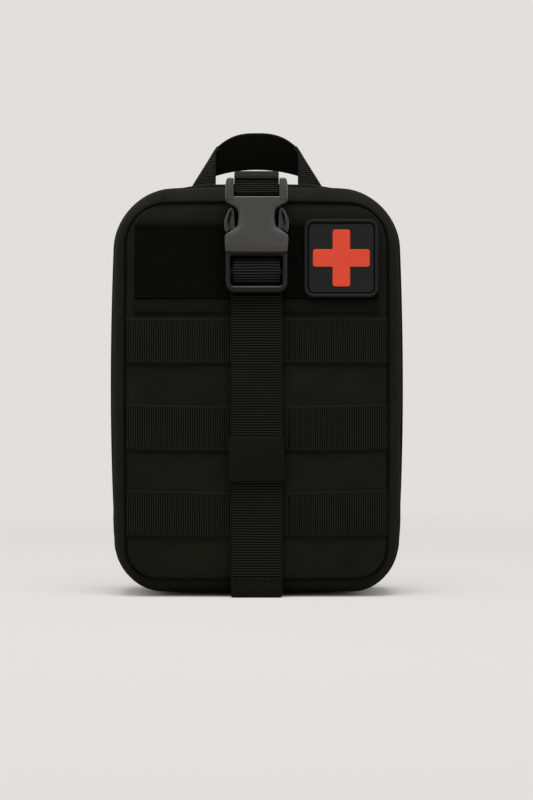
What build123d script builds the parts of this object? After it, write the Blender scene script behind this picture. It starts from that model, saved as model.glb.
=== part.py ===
"""Rip-away medical pouch: zipped clamshell case, hook-and-loop back platform,
over-strap with side-release buckle, carry handle and peel-off plus patch.

Millimetres. +Z up, front of the pouch faces -Y, +X is the wearer's left.
The origin is the bottom centre of the bounding box of the whole pouch.
"""
from build123d import *
import os

# ---------------------------------------------------------------- case
body_w = 167.0          # widest outline of the case, at the zip
body_h = 235.0
body_r = 36.0           # outline corner radius
case_depth = 80.0       # front face of the front panel to back face of the back panel
wall = 3.5              # foam-padded gusset wall
back_t = 3.0            # back panel thickness
panel_w = 150.0         # front panel outline, piping included
panel_r = 22.0
panel_t = 2.5
panel_lift = 7.4        # front panel's lower edge above the case's underside
panel_drop = 12.6       # its upper edge below the case's top
piping_w = 1.5
lining_t = 1.2
lining_inset = 0.5      # lining edge to the gusset's inner face

# ---------------------------------------------------------------- zip
zip_depth = 31.0        # front face of the front panel to the zip's centre line
zip_gap = 12.0          # open valley between the two gussets
zip_end_h = 40.0        # height of the zip's two ends above the case's underside
tape_t = 1.0
tape_lap = 4.0          # tape sewn under each gusset edge
coil_w = 1.6            # width of one coil half
coil_t = 1.0            # coil height above the tape
coil_gap = 0.3          # between the two coil halves
taper_end = 9.0         # straight stretch of front gusset beside the zip valley
stop_h = 2.0            # end stop height
fold_gap = 0.3          # between cover and case along the folded lower corner

# ---------------------------------------------------------------- webbing and fields
web_t = 1.6             # webbing thickness
row_h = 25.4            # attachment row webbing, one inch
row_pitch = 49.0
row_clear = 2.7         # between the hem and the top row
row_count = 3
field_w = 139.0         # loop field for patches
field_h = 43.0
field_t = 1.0
field_drop = 23.6       # its upper edge below the case's top
hem_w = 140.0
hem_h = 8.6
hem_t = 0.8

# ---------------------------------------------------------------- plus patch
patch_w = 42.0
patch_h = 44.4
patch_r = 5.0
patch_x = 48.2
patch_drop = 43.5       # patch centre below the case's top
patch_hook_inset = 0.5
patch_hook_t = 1.2
patch_base_t = 1.6
patch_rim_w = 1.8
patch_rim_t = 0.8
plus_size = 32.4        # tip to tip
plus_arm = 10.0
plus_end_r = 2.5
plus_t = 0.6

# ---------------------------------------------------------------- strap, keeper and buckle
strap_w = 29.0
strap_gap = 1.4         # front strap's back face to the rows, room for the keeper's back
strap_low_z = 2.4       # lower end of the swinging strap
strap_axis_z = 2.0
tail_low_z = 70.0
keeper_w = 32.0
keeper_h = 25.0
keeper_z = 78.5
keeper_t = 0.9
keeper_fit = 0.25       # clearance round the strap
upper_w = 25.0          # webbing of the upper run

buckle_t = 11.0         # over-all thickness
buckle_wall = 2.2
male_h = 22.5
male_w = 35.0
male_r = 4.4
male_t = 7.4
male_bar = 4.2          # lower bar height
male_rail = 2.7
ladder_r = 1.6
ladder_up = 12.5        # ladder bar's axis above the plug's lower end
strap_over_bar = 6.3    # strap's end above the ladder bar
turn_inset = 1.0
socket_rise = 0.7       # socket's upper end above the case's top
female_w = 36.0
female_h = 41.0
female_top_w = 33.4
female_block_h = 10.5   # full-width lower block
female_waist_w = 20.0
female_slope_h = 2.8
female_waist_top = 25.2
female_shoulder = 29.7
channel_end = 1.5       # solid left above the prongs' channel
prong_gap = 0.3
prong_arm_w = 3.0
prong_arm_x = 13.0
prong_root_h = 2.5      # height of the male base block in the female's mouth
prong_tip_w = 4.4
prong_button_out = 17.3
prong_button_h = 13.0
prong_crest = 0.4       # how far the button swells and falls away
prong_crest_low = 0.3   # shares of the button's height
prong_crest_high = 0.62
prong_tip_in = 1.0
spine_w = 6.0
spine_h = 17.0
bar_t = 3.2
bar_h = 3.8
web_bend = 1.6          # slack between the bar and the webbing that turns over it

# ---------------------------------------------------------------- handle
handle_span = 75.8      # outside, at the base
handle_mid = 46.6       # between the folds
handle_fold_h = 22.6    # fold height above the base webbing
handle_h = 29.0         # apex above the base webbing
handle_web = 20.5       # visible width at the apex
handle_t = 2.0
handle_lean = 24.0      # degrees, apex leaning to the front
handle_sag = 1.5        # underside at the folds below its middle
handle_seat = 0.2       # clearance between the handle and its base webbing
base_len = 93.0         # webbing the handle is sewn to
base_w = 24.0
base_back = 7.6         # front edge of that webbing behind the zip's centre line

# ---------------------------------------------------------------- back platform
hook_field_w = 140.0
hook_field_h = 200.0
hook_field_r = 10.0
hook_field_t = 1.2
platform_w = 150.0
platform_h = 225.0
platform_r = 12.0
platform_t = 2.5
platform_row_pitch = 50.8
platform_row_w = 140.0
molle_w = 25.4
molle_l = 205.0
molle_x = 38.1          # half of the 76.2 mm strap spacing
snap_r = 6.0
snap_t = 2.2
snap_up = 14.0          # snap centre above the strap's lower end

# ---------------------------------------------------------------- inside
loop_rows = 2
loop_cols = 5
loop_w = 26.0
loop_h = 38.0
loop_d = 3.2            # how far an elastic loop stands off when empty
elastic_t = 1.1
loop_pitch_z = 46.0
loop_low_z = 118.0
pocket_w = 140.0
pocket_h = 80.0
pocket_low_z = 24.0
pocket_d = 4.0
mesh_t = 1.0
binding_h = 8.0
cover_pocket_w = 120.0
cover_pocket_h = 95.0
cover_pocket_low_z = 40.0

# ---------------------------------------------------------------- slider
slider_w = 8.0
slider_l = 12.0
slider_t = 1.2
slider_z = 60.0
slider_fit = 0.2
bail_gap = 0.2
pull_w = 5.0
pull_l = 17.0
pull_t = 1.2
pull_up = 2.0           # pull's pin above the slider's centre
pin_r = 0.6

# ---------------------------------------------------------------- places that follow
under_z = web_t                                  # underside of the case rests on the strap
top_z = under_z + body_h
panel_h = body_h - panel_lift - panel_drop
body_zc = under_z + body_h / 2
panel_z0 = under_z + panel_lift
panel_zc = panel_z0 + panel_h / 2
front_out = web_t + strap_gap + buckle_t
back_out = 2 * hook_field_t + platform_t + 2 * web_t + snap_t
front_y = front_out - (front_out + case_depth + back_out) / 2
back_y = front_y + case_depth
zip_y = front_y + zip_depth
zip_end_z = under_z + zip_end_h
strap_y = front_y - web_t - strap_gap            # back face of the front strap
buckle_y = strap_y - buckle_t                    # front face of the buckle
buckle_mid_y = strap_y - buckle_t / 2
valley_x = body_w / 2 - wall                     # outer face of the zip tape
base_y = zip_y + base_back
base_top = top_z + web_t
field_low_z = top_z - field_drop - field_h
row_top_z = field_low_z - hem_h - row_clear - row_h / 2
patch_z = top_z - patch_drop
female_low_z = top_z + socket_rise - female_h
male_low_z = female_low_z - prong_gap - male_h
ladder_z = male_low_z + ladder_up
os.makedirs("parts", exist_ok=True)


def save(shape, name):
    """Write one sub-part under its node name."""
    export_step(shape, f"parts/{name}.step")


def block(x0, x1, y0, y1, z0, z1):
    """Box between two corners."""
    size = Box(x1 - x0, y1 - y0, z1 - z0)
    return Pos((x0 + x1) / 2, (y0 + y1) / 2, (z0 + z1) / 2) * size


def outline(w, h, r, y, zc, xc=0.0):
    """Rounded rectangle standing in the XZ plane at y."""
    plane = Plane(origin=(xc, y, zc), x_dir=(1, 0, 0), z_dir=(0, -1, 0))
    return plane * RectangleRounded(w, h, r)


def slab(w, h, r, y, depth, zc, xc=0.0):
    """Rounded plate from y backwards over depth."""
    return extrude(outline(w, h, r, y, zc, xc), amount=-depth)


def ring(w, h, r, t, y, depth, zc, xc=0.0):
    """Frame of width t inside a rounded plate's outline."""
    hole = slab(w - 2 * t, h - 2 * t, r - t, y, depth, zc, xc)
    return slab(w, h, r, y, depth, zc, xc) - hole


def profile_yz(points, half_width):
    """Solid across X with the given outline of (y, z) points."""
    plane = Plane(origin=(-half_width, 0, 0), x_dir=(0, 1, 0), z_dir=(1, 0, 0))
    return extrude(plane * make_face(Polyline(*points, close=True)), amount=2 * half_width)


def profile_xz(points, y, depth):
    """Solid from y backwards over depth with the given outline of (x, z) points."""
    plane = Plane(origin=(0, y, 0), x_dir=(1, 0, 0), z_dir=(0, -1, 0))
    return extrude(plane * make_face(Polyline(*points, close=True)), amount=-depth)


def tapered(inset, y0, y1):
    """Solid that widens from the front panel's outline at y0 to the case's at y1."""
    front = outline(panel_w - 2 * inset, panel_h - 2 * inset, panel_r - inset, y0, panel_zc)
    rear = outline(body_w - 2 * inset, body_h - 2 * inset, body_r - inset, y1, body_zc)
    return loft([front, rear])


def fold_wedge(shift, y_end):
    """Everything below the folded corner line that runs from the panel's lower edge to the zip end."""
    low = under_z - body_r
    points = [(front_y, low), (front_y, panel_z0 + shift), (zip_y, zip_end_z + shift),
              (y_end, zip_end_z + shift), (y_end, low)]
    return profile_yz(points, body_w)


# ---------------------------------------------------------------- case shells
taper_y0 = front_y + panel_t
taper_y1 = zip_y - zip_gap / 2 - taper_end
valley_y0 = zip_y - zip_gap / 2
valley_y1 = zip_y + zip_gap / 2
front_wall = tapered(0, taper_y0, taper_y1) - tapered(wall, taper_y0, taper_y1)
straight_wall = ring(body_w, body_h, body_r, wall, taper_y1, valley_y0 - taper_y1, body_zc)
valley_wall = ring(body_w, body_h, body_r, wall, valley_y0, zip_gap, body_zc)
forward_shell = front_wall + straight_wall

front_gusset = forward_shell - fold_wedge(fold_gap, valley_y0 + 1)
rear_gusset = ring(body_w, body_h, body_r, wall, valley_y1, back_y - back_t - valley_y1, body_zc)
rear_gusset += (forward_shell + valley_wall) & fold_wedge(0, valley_y1)

back_panel = slab(body_w - 2 * piping_w, body_h - 2 * piping_w, body_r - piping_w,
                  back_y - back_t, back_t, body_zc)
rear_piping = ring(body_w, body_h, body_r, piping_w, back_y - back_t, back_t, body_zc)
front_panel = slab(panel_w - 2 * piping_w, panel_h - 2 * piping_w, panel_r - piping_w,
                   front_y, panel_t, panel_zc)
front_piping = ring(panel_w, panel_h, panel_r, piping_w, front_y, panel_t, panel_zc)

save(front_gusset, "front_gusset")
save(rear_gusset, "rear_gusset")
save(back_panel, "back_panel")
save(rear_piping, "rear_piping")
save(front_panel, "front_panel")
save(front_piping, "front_piping")

# ---------------------------------------------------------------- zip
tape_w = body_w - 2 * wall
tape_h = body_h - 2 * wall
tape_r = body_r - wall
above_end = block(-body_w, body_w, front_y, back_y, zip_end_z, top_z + body_r)


def zip_half(y0, y1, out, thick):
    """Inverted-U strip along the zip, with its outer face out mm outside the tape's."""
    loop = ring(tape_w + 2 * out, tape_h + 2 * out, tape_r + out, thick, y0, y1 - y0, body_zc)
    return loop & above_end


coil_y0 = zip_y - coil_gap / 2 - coil_w
coil_y1 = zip_y + coil_gap / 2 + coil_w
save(zip_half(valley_y0 - tape_lap, coil_y0, 0, tape_t), "zip_tape_front")
save(zip_half(coil_y1, valley_y1 + tape_lap, 0, tape_t), "zip_tape_rear")
save(zip_half(coil_y0, zip_y - coil_gap / 2, coil_t, tape_t + coil_t), "zip_coil_front")
save(zip_half(zip_y + coil_gap / 2, coil_y1, coil_t, tape_t + coil_t), "zip_coil_rear")

stops = None
for side in (-1, 1):
    near = side * valley_x
    far = side * (body_w / 2)
    stop = block(min(near, far), max(near, far), coil_y1, coil_y1 + coil_w, zip_end_z, zip_end_z + stop_h)
    stops = stop if stops is None else stops + stop
save(stops, "zip_end_stops")

# ---------------------------------------------------------------- slider and pull
slider_x0 = valley_x + coil_t + slider_fit
slider_x1 = slider_x0 + slider_t
slider_y0 = zip_y - slider_w / 2
slider = block(slider_x0, slider_x1, slider_y0, slider_y0 + slider_w,
               slider_z - slider_l / 2, slider_z + slider_l / 2)
flange_y = coil_y1 + slider_fit
slider += block(valley_x + slider_fit, slider_x0, flange_y, slider_y0 + slider_w,
                slider_z - slider_l / 2, slider_z + slider_l / 2)
pin_x = slider_x1 + bail_gap + pull_t / 2
pin_z = slider_z + pull_up
for side in (-1, 1):
    ear_y = zip_y + side * (slider_w / 2 - (slider_w - pull_w) / 4 + bail_gap / 2)
    ear_half = (slider_w - pull_w) / 4 - bail_gap / 2
    slider += block(slider_x1, slider_x1 + bail_gap + pull_t, ear_y - ear_half, ear_y + ear_half,
                    pin_z - pull_t, pin_z + pull_t)
pin = Pos(pin_x, zip_y, pin_z) * Rot(90, 0, 0) * Cylinder(pin_r / 2, slider_w - 2 * bail_gap)
slider += pin
save(slider, "zip_slider")

pin_hole = Pos(pin_x, zip_y, pin_z) * Rot(90, 0, 0) * Cylinder(pin_r / 2 + 0.05, slider_w)
pull = block(pin_x - pull_t / 2, pin_x + pull_t / 2, zip_y - pull_w / 2, zip_y + pull_w / 2,
             pin_z - pull_l, pin_z)
pull += Pos(pin_x, zip_y, pin_z) * Rot(90, 0, 0) * Cylinder(pull_t / 2, pull_w)
save(pull - pin_hole, "zip_pull")

# ---------------------------------------------------------------- front fields and rows
save(block(-field_w / 2, field_w / 2, front_y - field_t, front_y, field_low_z, field_low_z + field_h),
     "loop_field")
hem_z1 = field_low_z
save(block(-hem_w / 2, hem_w / 2, front_y - hem_t, front_y, hem_z1 - hem_h, hem_z1), "field_hem")
row_half = panel_w / 2 - piping_w
for i in range(row_count):
    zc = row_top_z - i * row_pitch
    row = block(-row_half, row_half, front_y - web_t, front_y, zc - row_h / 2, zc + row_h / 2)
    save(row, f"molle_row_{i + 1}")

# ---------------------------------------------------------------- linings and pockets
lining_y = front_y + panel_t
front_in = wall + 2 * lining_inset
save(slab(panel_w - 2 * front_in, panel_h - 2 * front_in, panel_r - front_in, lining_y, lining_t, panel_zc),
     "cover_lining")
rear_in = wall + lining_inset
organiser_y = back_y - back_t - lining_t
save(slab(body_w - 2 * rear_in, body_h - 2 * rear_in, body_r - rear_in, organiser_y, lining_t, body_zc),
     "organiser_panel")


def pocket(w, h, z0, wall_y, toward):
    """Flat mesh pocket, open at its top, on a lining whose face is wall_y."""
    face_y = wall_y + toward * pocket_d
    y0, y1 = sorted((wall_y, face_y))
    bag = block(-w / 2, w / 2, y0, y1, z0, z0 + h)
    in0, in1 = sorted((wall_y, face_y - toward * mesh_t))
    return bag - block(-w / 2 + mesh_t, w / 2 - mesh_t, in0, in1, z0 + mesh_t, z0 + h)


def binding(w, z1, wall_y, toward):
    """Elastic binding over the mouth edge of a pocket."""
    near = wall_y + toward * pocket_d
    y0, y1 = sorted((near, near + toward * mesh_t))
    return block(-w / 2, w / 2, y0, y1, z1 - binding_h, z1)


save(pocket(pocket_w, pocket_h, pocket_low_z, organiser_y, -1), "mesh_pocket")
save(binding(pocket_w, pocket_low_z + pocket_h, organiser_y, -1), "mesh_pocket_binding")
cover_face = lining_y + lining_t
save(pocket(cover_pocket_w, cover_pocket_h, cover_pocket_low_z, cover_face, 1), "cover_pocket")
save(binding(cover_pocket_w, cover_pocket_low_z + cover_pocket_h, cover_face, 1), "cover_pocket_binding")

loops = None
for r in range(loop_rows):
    z0 = loop_low_z + r * loop_pitch_z
    for c in range(loop_cols):
        xc = (c - (loop_cols - 1) / 2) * loop_w
        y0 = organiser_y - loop_d
        one = block(xc - loop_w / 2, xc + loop_w / 2, y0, organiser_y, z0, z0 + loop_h)
        one -= block(xc - loop_w / 2 + elastic_t, xc + loop_w / 2 - elastic_t,
                     y0 + elastic_t, organiser_y, z0, z0 + loop_h)
        loops = one if loops is None else loops + one
save(loops, "elastic_loops")

# ---------------------------------------------------------------- plus patch
patch_y = front_y - field_t
hook_w = patch_w - 2 * patch_hook_inset
hook_h = patch_h - 2 * patch_hook_inset
save(slab(hook_w, hook_h, patch_r, patch_y - patch_hook_t, patch_hook_t, patch_z, patch_x), "patch_hook")
patch_y -= patch_hook_t + patch_base_t
save(slab(patch_w, patch_h, patch_r, patch_y, patch_base_t, patch_z, patch_x), "patch_base")
save(ring(patch_w, patch_h, patch_r, patch_rim_w, patch_y - patch_rim_t, patch_rim_t, patch_z, patch_x),
     "patch_rim")
plus = slab(plus_size, plus_arm, plus_end_r, patch_y - plus_t, plus_t, patch_z, patch_x)
plus += slab(plus_arm, plus_size, plus_end_r, patch_y - plus_t, plus_t, patch_z, patch_x)
save(plus, "patch_plus")

# ---------------------------------------------------------------- over-strap
platform_y = back_y + 2 * hook_field_t
save(block(-strap_w / 2, strap_w / 2, strap_y, platform_y, 0, web_t), "strap_bottom")
male_y = strap_y - web_t - male_t
slot_top = female_low_z - buckle_wall
strap_top = ladder_z + strap_over_bar
save(block(-strap_w / 2, strap_w / 2, strap_y - web_t, strap_y, strap_low_z, strap_top), "front_strap")
tail_top = male_low_z - web_bend
save(block(-strap_w / 2, strap_w / 2, strap_y - 2 * web_t, strap_y - web_t, tail_low_z, tail_top),
     "strap_tail")
ladder_y = strap_y - 2 * web_t - ladder_r
ladder = Pos(0, ladder_y, ladder_z) * Rot(0, 90, 0) * Cylinder(ladder_r, male_w - male_rail)
turn_z0 = male_low_z + male_bar + fold_gap
turn_half = strap_w / 2 - turn_inset
turn = block(-turn_half, turn_half, ladder_y - ladder_r - web_t, strap_y - web_t,
             turn_z0, slot_top - fold_gap)
save(turn - ladder, "strap_turn")

keeper_y0 = strap_y - 2 * web_t - keeper_fit
keeper_hole = block(-strap_w / 2 - keeper_fit, strap_w / 2 + keeper_fit, keeper_y0, strap_y + keeper_fit,
                    keeper_z - keeper_h, keeper_z + keeper_h)
keeper = block(-keeper_w / 2, keeper_w / 2, keeper_y0 - keeper_t, strap_y + keeper_fit + keeper_t,
               keeper_z - keeper_h / 2, keeper_z + keeper_h / 2)
save(keeper - keeper_hole, "strap_keeper")

# ---------------------------------------------------------------- buckle, plug half
mouth_z = female_low_z + prong_root_h
frame = slab(male_w, male_h, male_r, male_y, male_t, male_low_z + male_h / 2)
frame -= block(-male_w / 2 + male_rail, male_w / 2 - male_rail, male_y, male_y + male_t,
               male_low_z + male_bar, slot_top)
frame += ladder
root_y0 = buckle_y + buckle_wall + prong_gap
root_y1 = strap_y - buckle_wall - prong_gap
channel_half = female_w / 2 - buckle_wall
frame += block(-channel_half + prong_gap, channel_half - prong_gap, root_y0, root_y1,
               female_low_z - prong_gap - male_rail / 2, mouth_z)
frame += block(-spine_w / 2, spine_w / 2, root_y0, root_y1, mouth_z, mouth_z + spine_h)
save(frame, "buckle_plug")

prong_z0 = mouth_z + prong_gap
slope_rise = female_slope_h * 2 * buckle_wall / (female_w - female_waist_w)
button_z0 = female_low_z + female_block_h + slope_rise + prong_gap
for name, side in (("left", -1), ("right", 1)):
    inner = prong_arm_x - prong_arm_w / 2
    outer = prong_arm_x + prong_arm_w / 2
    tip_z = button_z0 + prong_button_h
    points = [(inner, prong_z0), (outer, prong_z0), (outer, button_z0), (prong_button_out, button_z0),
              (prong_button_out + prong_crest, button_z0 + prong_button_h * prong_crest_low),
              (prong_button_out - prong_crest, button_z0 + prong_button_h * prong_crest_high),
              (inner + prong_tip_w, tip_z), (inner + prong_tip_in, tip_z)]
    prong = profile_xz([(side * x, z) for x, z in points], root_y0, root_y1 - root_y0)
    save(prong, f"prong_{name}")

# ---------------------------------------------------------------- buckle, socket half
half = female_w / 2
waist = female_waist_w / 2
top_half = female_top_w / 2
steps = [(half, 0), (half, female_block_h), (waist, female_block_h + female_slope_h),
         (waist, female_waist_top), (top_half, female_shoulder), (top_half, female_h)]
right_side = [(x, female_low_z + z) for x, z in steps]
left_side = [(-x, z) for x, z in reversed(right_side)]
socket = profile_xz(right_side + left_side, buckle_y, buckle_t)
channel_top = female_low_z + female_shoulder - channel_end
socket -= block(-channel_half, channel_half, buckle_y + buckle_wall, strap_y - buckle_wall,
                female_low_z, channel_top)
bar_y0 = buckle_mid_y - bar_t / 2
bar_y1 = buckle_mid_y + bar_t / 2
upper_z0 = top_z + fold_gap
bar_z1 = upper_z0 - web_bend
bar_z0 = bar_z1 - bar_h
turn_low = bar_z0 - web_t
slot_half = upper_w / 2 + fold_gap
socket -= block(-slot_half, slot_half, buckle_y, strap_y, turn_low - fold_gap, female_low_z + female_h)
socket += block(-slot_half, slot_half, bar_y0, bar_y1, bar_z0, bar_z1)
save(socket, "buckle_socket")

# ---------------------------------------------------------------- upper run of the strap
upper_y0 = bar_y0 - web_t
upper_end = base_y - 2 * fold_gap
upper = block(-upper_w / 2, upper_w / 2, upper_y0, upper_end, upper_z0, upper_z0 + web_t)
upper += block(-upper_w / 2, upper_w / 2, upper_y0, bar_y1 + web_t, turn_low, upper_z0)
upper -= block(-upper_w / 2, upper_w / 2, bar_y0, bar_y1, bar_z0, upper_z0)
save(upper, "strap_upper")

# ---------------------------------------------------------------- handle
save(block(-base_len / 2, base_len / 2, base_y, base_y + base_w, top_z, base_top), "handle_base")
half_t = handle_t / 2
seat_z = base_top + handle_seat + half_t         # the line the handle folds about
span = handle_span / 2
mid = handle_mid / 2
fold_z = base_top + handle_fold_h
apex_z = base_top + handle_h
low_z = apex_z - handle_web
plane = Plane(origin=(0, 0, 0), x_dir=(1, 0, 0), z_dir=(0, -1, 0))
outer_arc = ThreePointArc((mid, fold_z), (0, apex_z), (-mid, fold_z))
inner_arc = ThreePointArc((-mid, low_z - handle_sag), (0, low_z), (mid, low_z - handle_sag))
edge = Polyline((span, seat_z), (mid, fold_z)) + outer_arc
edge += Polyline((-mid, fold_z), (-span, seat_z), (-mid, seat_z), (-mid, low_z - handle_sag)) + inner_arc
edge += Polyline((mid, low_z - handle_sag), (mid, seat_z), (span, seat_z))
strip = extrude(plane * make_face(edge), amount=half_t, both=True)
for side in (-1, 1):
    strip += Pos(side * (span + mid) / 2, 0, seat_z) * Rot(0, 90, 0) * Cylinder(half_t, span - mid)
handle_y = base_y + base_w / 2
lean = Pos(0, handle_y, seat_z) * Rot(handle_lean, 0, 0) * Pos(0, 0, -seat_z)
save(lean * strip, "handle")

# ---------------------------------------------------------------- back platform
save(slab(hook_field_w, hook_field_h, hook_field_r, back_y, hook_field_t, body_zc), "back_loop_field")
save(slab(hook_field_w, hook_field_h, hook_field_r, back_y + hook_field_t, hook_field_t, body_zc),
     "platform_hook_field")
platform_zc = platform_h / 2                     # its lower edge stands on the floor
save(slab(platform_w, platform_h, platform_r, platform_y, platform_t, platform_zc), "platform_panel")
rows_y = platform_y + platform_t
back_rows = None
for i in range(row_count + 1):
    zc = platform_zc + (i - row_count / 2) * platform_row_pitch
    row = block(-platform_row_w / 2, platform_row_w / 2, rows_y, rows_y + web_t, zc - row_h / 2, zc + row_h / 2)
    back_rows = row if back_rows is None else back_rows + row
save(back_rows, "platform_rows")
molle_y = rows_y + web_t
caps = None
for name, side in (("left", -1), ("right", 1)):
    xc = side * molle_x
    z0 = platform_zc - molle_l / 2
    save(block(xc - molle_w / 2, xc + molle_w / 2, molle_y, molle_y + web_t, z0, z0 + molle_l),
         f"molle_strap_{name}")
    cap = Pos(xc, molle_y + web_t + snap_t / 2, z0 + snap_up) * Rot(90, 0, 0) * Cylinder(snap_r, snap_t)
    caps = cap if caps is None else caps + cap
save(caps, "snap_caps")
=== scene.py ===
"""Looks of a rip-away medical pouch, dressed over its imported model.

Metres, +Z up, front towards -Y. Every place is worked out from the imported
nodes, and every surface gets a procedural finish.
"""
import logging
import math
from collections.abc import Callable, Sequence
from dataclasses import dataclass, field, replace
from enum import Enum

import bpy
from mathutils import Matrix, Vector, noise


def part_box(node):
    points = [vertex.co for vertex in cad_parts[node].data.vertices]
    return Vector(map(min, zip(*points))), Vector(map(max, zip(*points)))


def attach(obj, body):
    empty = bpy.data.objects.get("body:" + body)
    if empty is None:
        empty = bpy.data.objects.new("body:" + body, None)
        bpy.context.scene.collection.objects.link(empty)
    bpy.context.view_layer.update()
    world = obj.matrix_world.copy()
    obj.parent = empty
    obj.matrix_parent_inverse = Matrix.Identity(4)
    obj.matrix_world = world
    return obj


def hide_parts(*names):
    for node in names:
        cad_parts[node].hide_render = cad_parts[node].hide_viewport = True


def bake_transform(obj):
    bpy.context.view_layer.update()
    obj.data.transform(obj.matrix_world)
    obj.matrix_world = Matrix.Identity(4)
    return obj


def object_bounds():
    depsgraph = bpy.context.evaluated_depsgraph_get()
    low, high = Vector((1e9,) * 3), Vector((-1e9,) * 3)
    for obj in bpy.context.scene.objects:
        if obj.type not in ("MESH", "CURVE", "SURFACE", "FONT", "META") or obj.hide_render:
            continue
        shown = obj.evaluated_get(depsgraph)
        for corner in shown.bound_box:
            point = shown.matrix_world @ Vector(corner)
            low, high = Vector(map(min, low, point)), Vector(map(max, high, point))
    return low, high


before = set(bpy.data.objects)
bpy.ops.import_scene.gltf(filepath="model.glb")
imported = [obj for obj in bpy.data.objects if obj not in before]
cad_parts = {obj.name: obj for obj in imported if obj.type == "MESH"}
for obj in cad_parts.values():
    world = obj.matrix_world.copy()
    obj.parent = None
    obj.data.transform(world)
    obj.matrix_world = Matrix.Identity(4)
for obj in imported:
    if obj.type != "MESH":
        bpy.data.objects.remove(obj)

CAD_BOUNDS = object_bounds()
MM = 0.001
LOG = logging.getLogger("pouch")
Point = tuple[float, float, float]
Flat = tuple[float, float]
RIGHTWARD: Point = (1.0, 0.0, 0.0)
LEFTWARD: Point = (-1.0, 0.0, 0.0)
FRONTWARD: Point = (0.0, -1.0, 0.0)
REARWARD: Point = (0.0, 1.0, 0.0)
UPWARD: Point = (0.0, 0.0, 1.0)
DOWNWARD: Point = (0.0, 0.0, -1.0)
# Where the attachment rows are tacked down, across the front and the back.
TACKS = tuple(x * MM for x in (-57.15, -19.05, 19.05, 57.15))
# Turned profiles: share along, thickness and rise of each section.
STITCH = ((0.0, 0.35, -1.0), (0.18, 0.9, 0.4), (0.5, 1.0, 1.0), (0.82, 0.9, 0.4), (1.0, 0.35, -1.0))
TOOTH = ((0.0, 0.5, -0.25), (0.15, 1.0, 0.1), (0.5, 1.0, 0.3), (0.8, 1.15, 0.25), (1.0, 0.75, 0.0))
# Radius as a share of the snap cap's, and height in millimetres.
SNAP = ((1.0, 0.0), (1.0, 1.1), (0.93, 1.55), (0.8, 1.75), (0.62, 1.6), (0.56, 1.85), (0.4, 2.2),
        (0.1, 2.35))
# Rings of a crowned panel, as shares of its rim.
CROWN = (1.0, 0.992, 0.975, 0.95, 0.91, 0.86, 0.79, 0.7, 0.58, 0.44, 0.3, 0.17, 0.06)


class Body(Enum):
    """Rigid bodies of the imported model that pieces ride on."""

    CASE = "case"
    COVER = "cover"
    PATCH = "patch"
    STRAP = "over_strap"
    KEEPER = "keeper"
    PRONG_LEFT = "prong_left"
    PRONG_RIGHT = "prong_right"
    SLIDER = "slider"
    PULL = "pull"
    HANDLE = "handle"


# --------------------------------------------------------------------------- shader maths
class Wire:
    """One value socket, so that shader maths reads as plain expressions."""

    def __init__(self, sheet: "Sheet", socket: bpy.types.NodeSocket) -> None:
        """Keep the sheet that owns the socket."""
        self.sheet = sheet
        self.socket = socket

    def _math(self, operation: str, *others: "Wire | float", clamp: bool = False) -> "Wire":
        """Add a Math node whose first input is this value."""
        inputs = {0: self}
        inputs.update({i + 1: other for i, other in enumerate(others)})
        return self.sheet.add("ShaderNodeMath", {"operation": operation, "use_clamp": clamp}, inputs)

    def __add__(self, other: "Wire | float") -> "Wire":
        """Sum."""
        return self._math("ADD", other)

    __radd__ = __add__

    def __mul__(self, other: "Wire | float") -> "Wire":
        """Product."""
        return self._math("MULTIPLY", other)

    __rmul__ = __mul__

    def __sub__(self, other: "Wire | float") -> "Wire":
        """Difference."""
        return self._math("SUBTRACT", other)

    def __rsub__(self, other: float) -> "Wire":
        """Difference with a plain number on the left."""
        return (self * -1.0) + other

    def __truediv__(self, other: "Wire | float") -> "Wire":
        """Quotient."""
        return self._math("DIVIDE", other)

    def __pow__(self, other: "Wire | float") -> "Wire":
        """Power."""
        return self._math("POWER", other)

    def sin(self) -> "Wire":
        """Sine."""
        return self._math("SINE")

    def size(self) -> "Wire":
        """Absolute value."""
        return self._math("ABSOLUTE")

    def at_most(self, other: "Wire | float") -> "Wire":
        """Lower of two values."""
        return self._math("MINIMUM", other)

    def at_least(self, other: "Wire | float") -> "Wire":
        """Higher of two values."""
        return self._math("MAXIMUM", other)

    def ramp(self, low: float, high: float) -> "Wire":
        """Rise smoothly from 0 at low to 1 at high."""
        return self.sheet.add("ShaderNodeMapRange", {"interpolation_type": "SMOOTHSTEP"},
                              {"Value": self, "From Min": low, "From Max": high})


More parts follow.
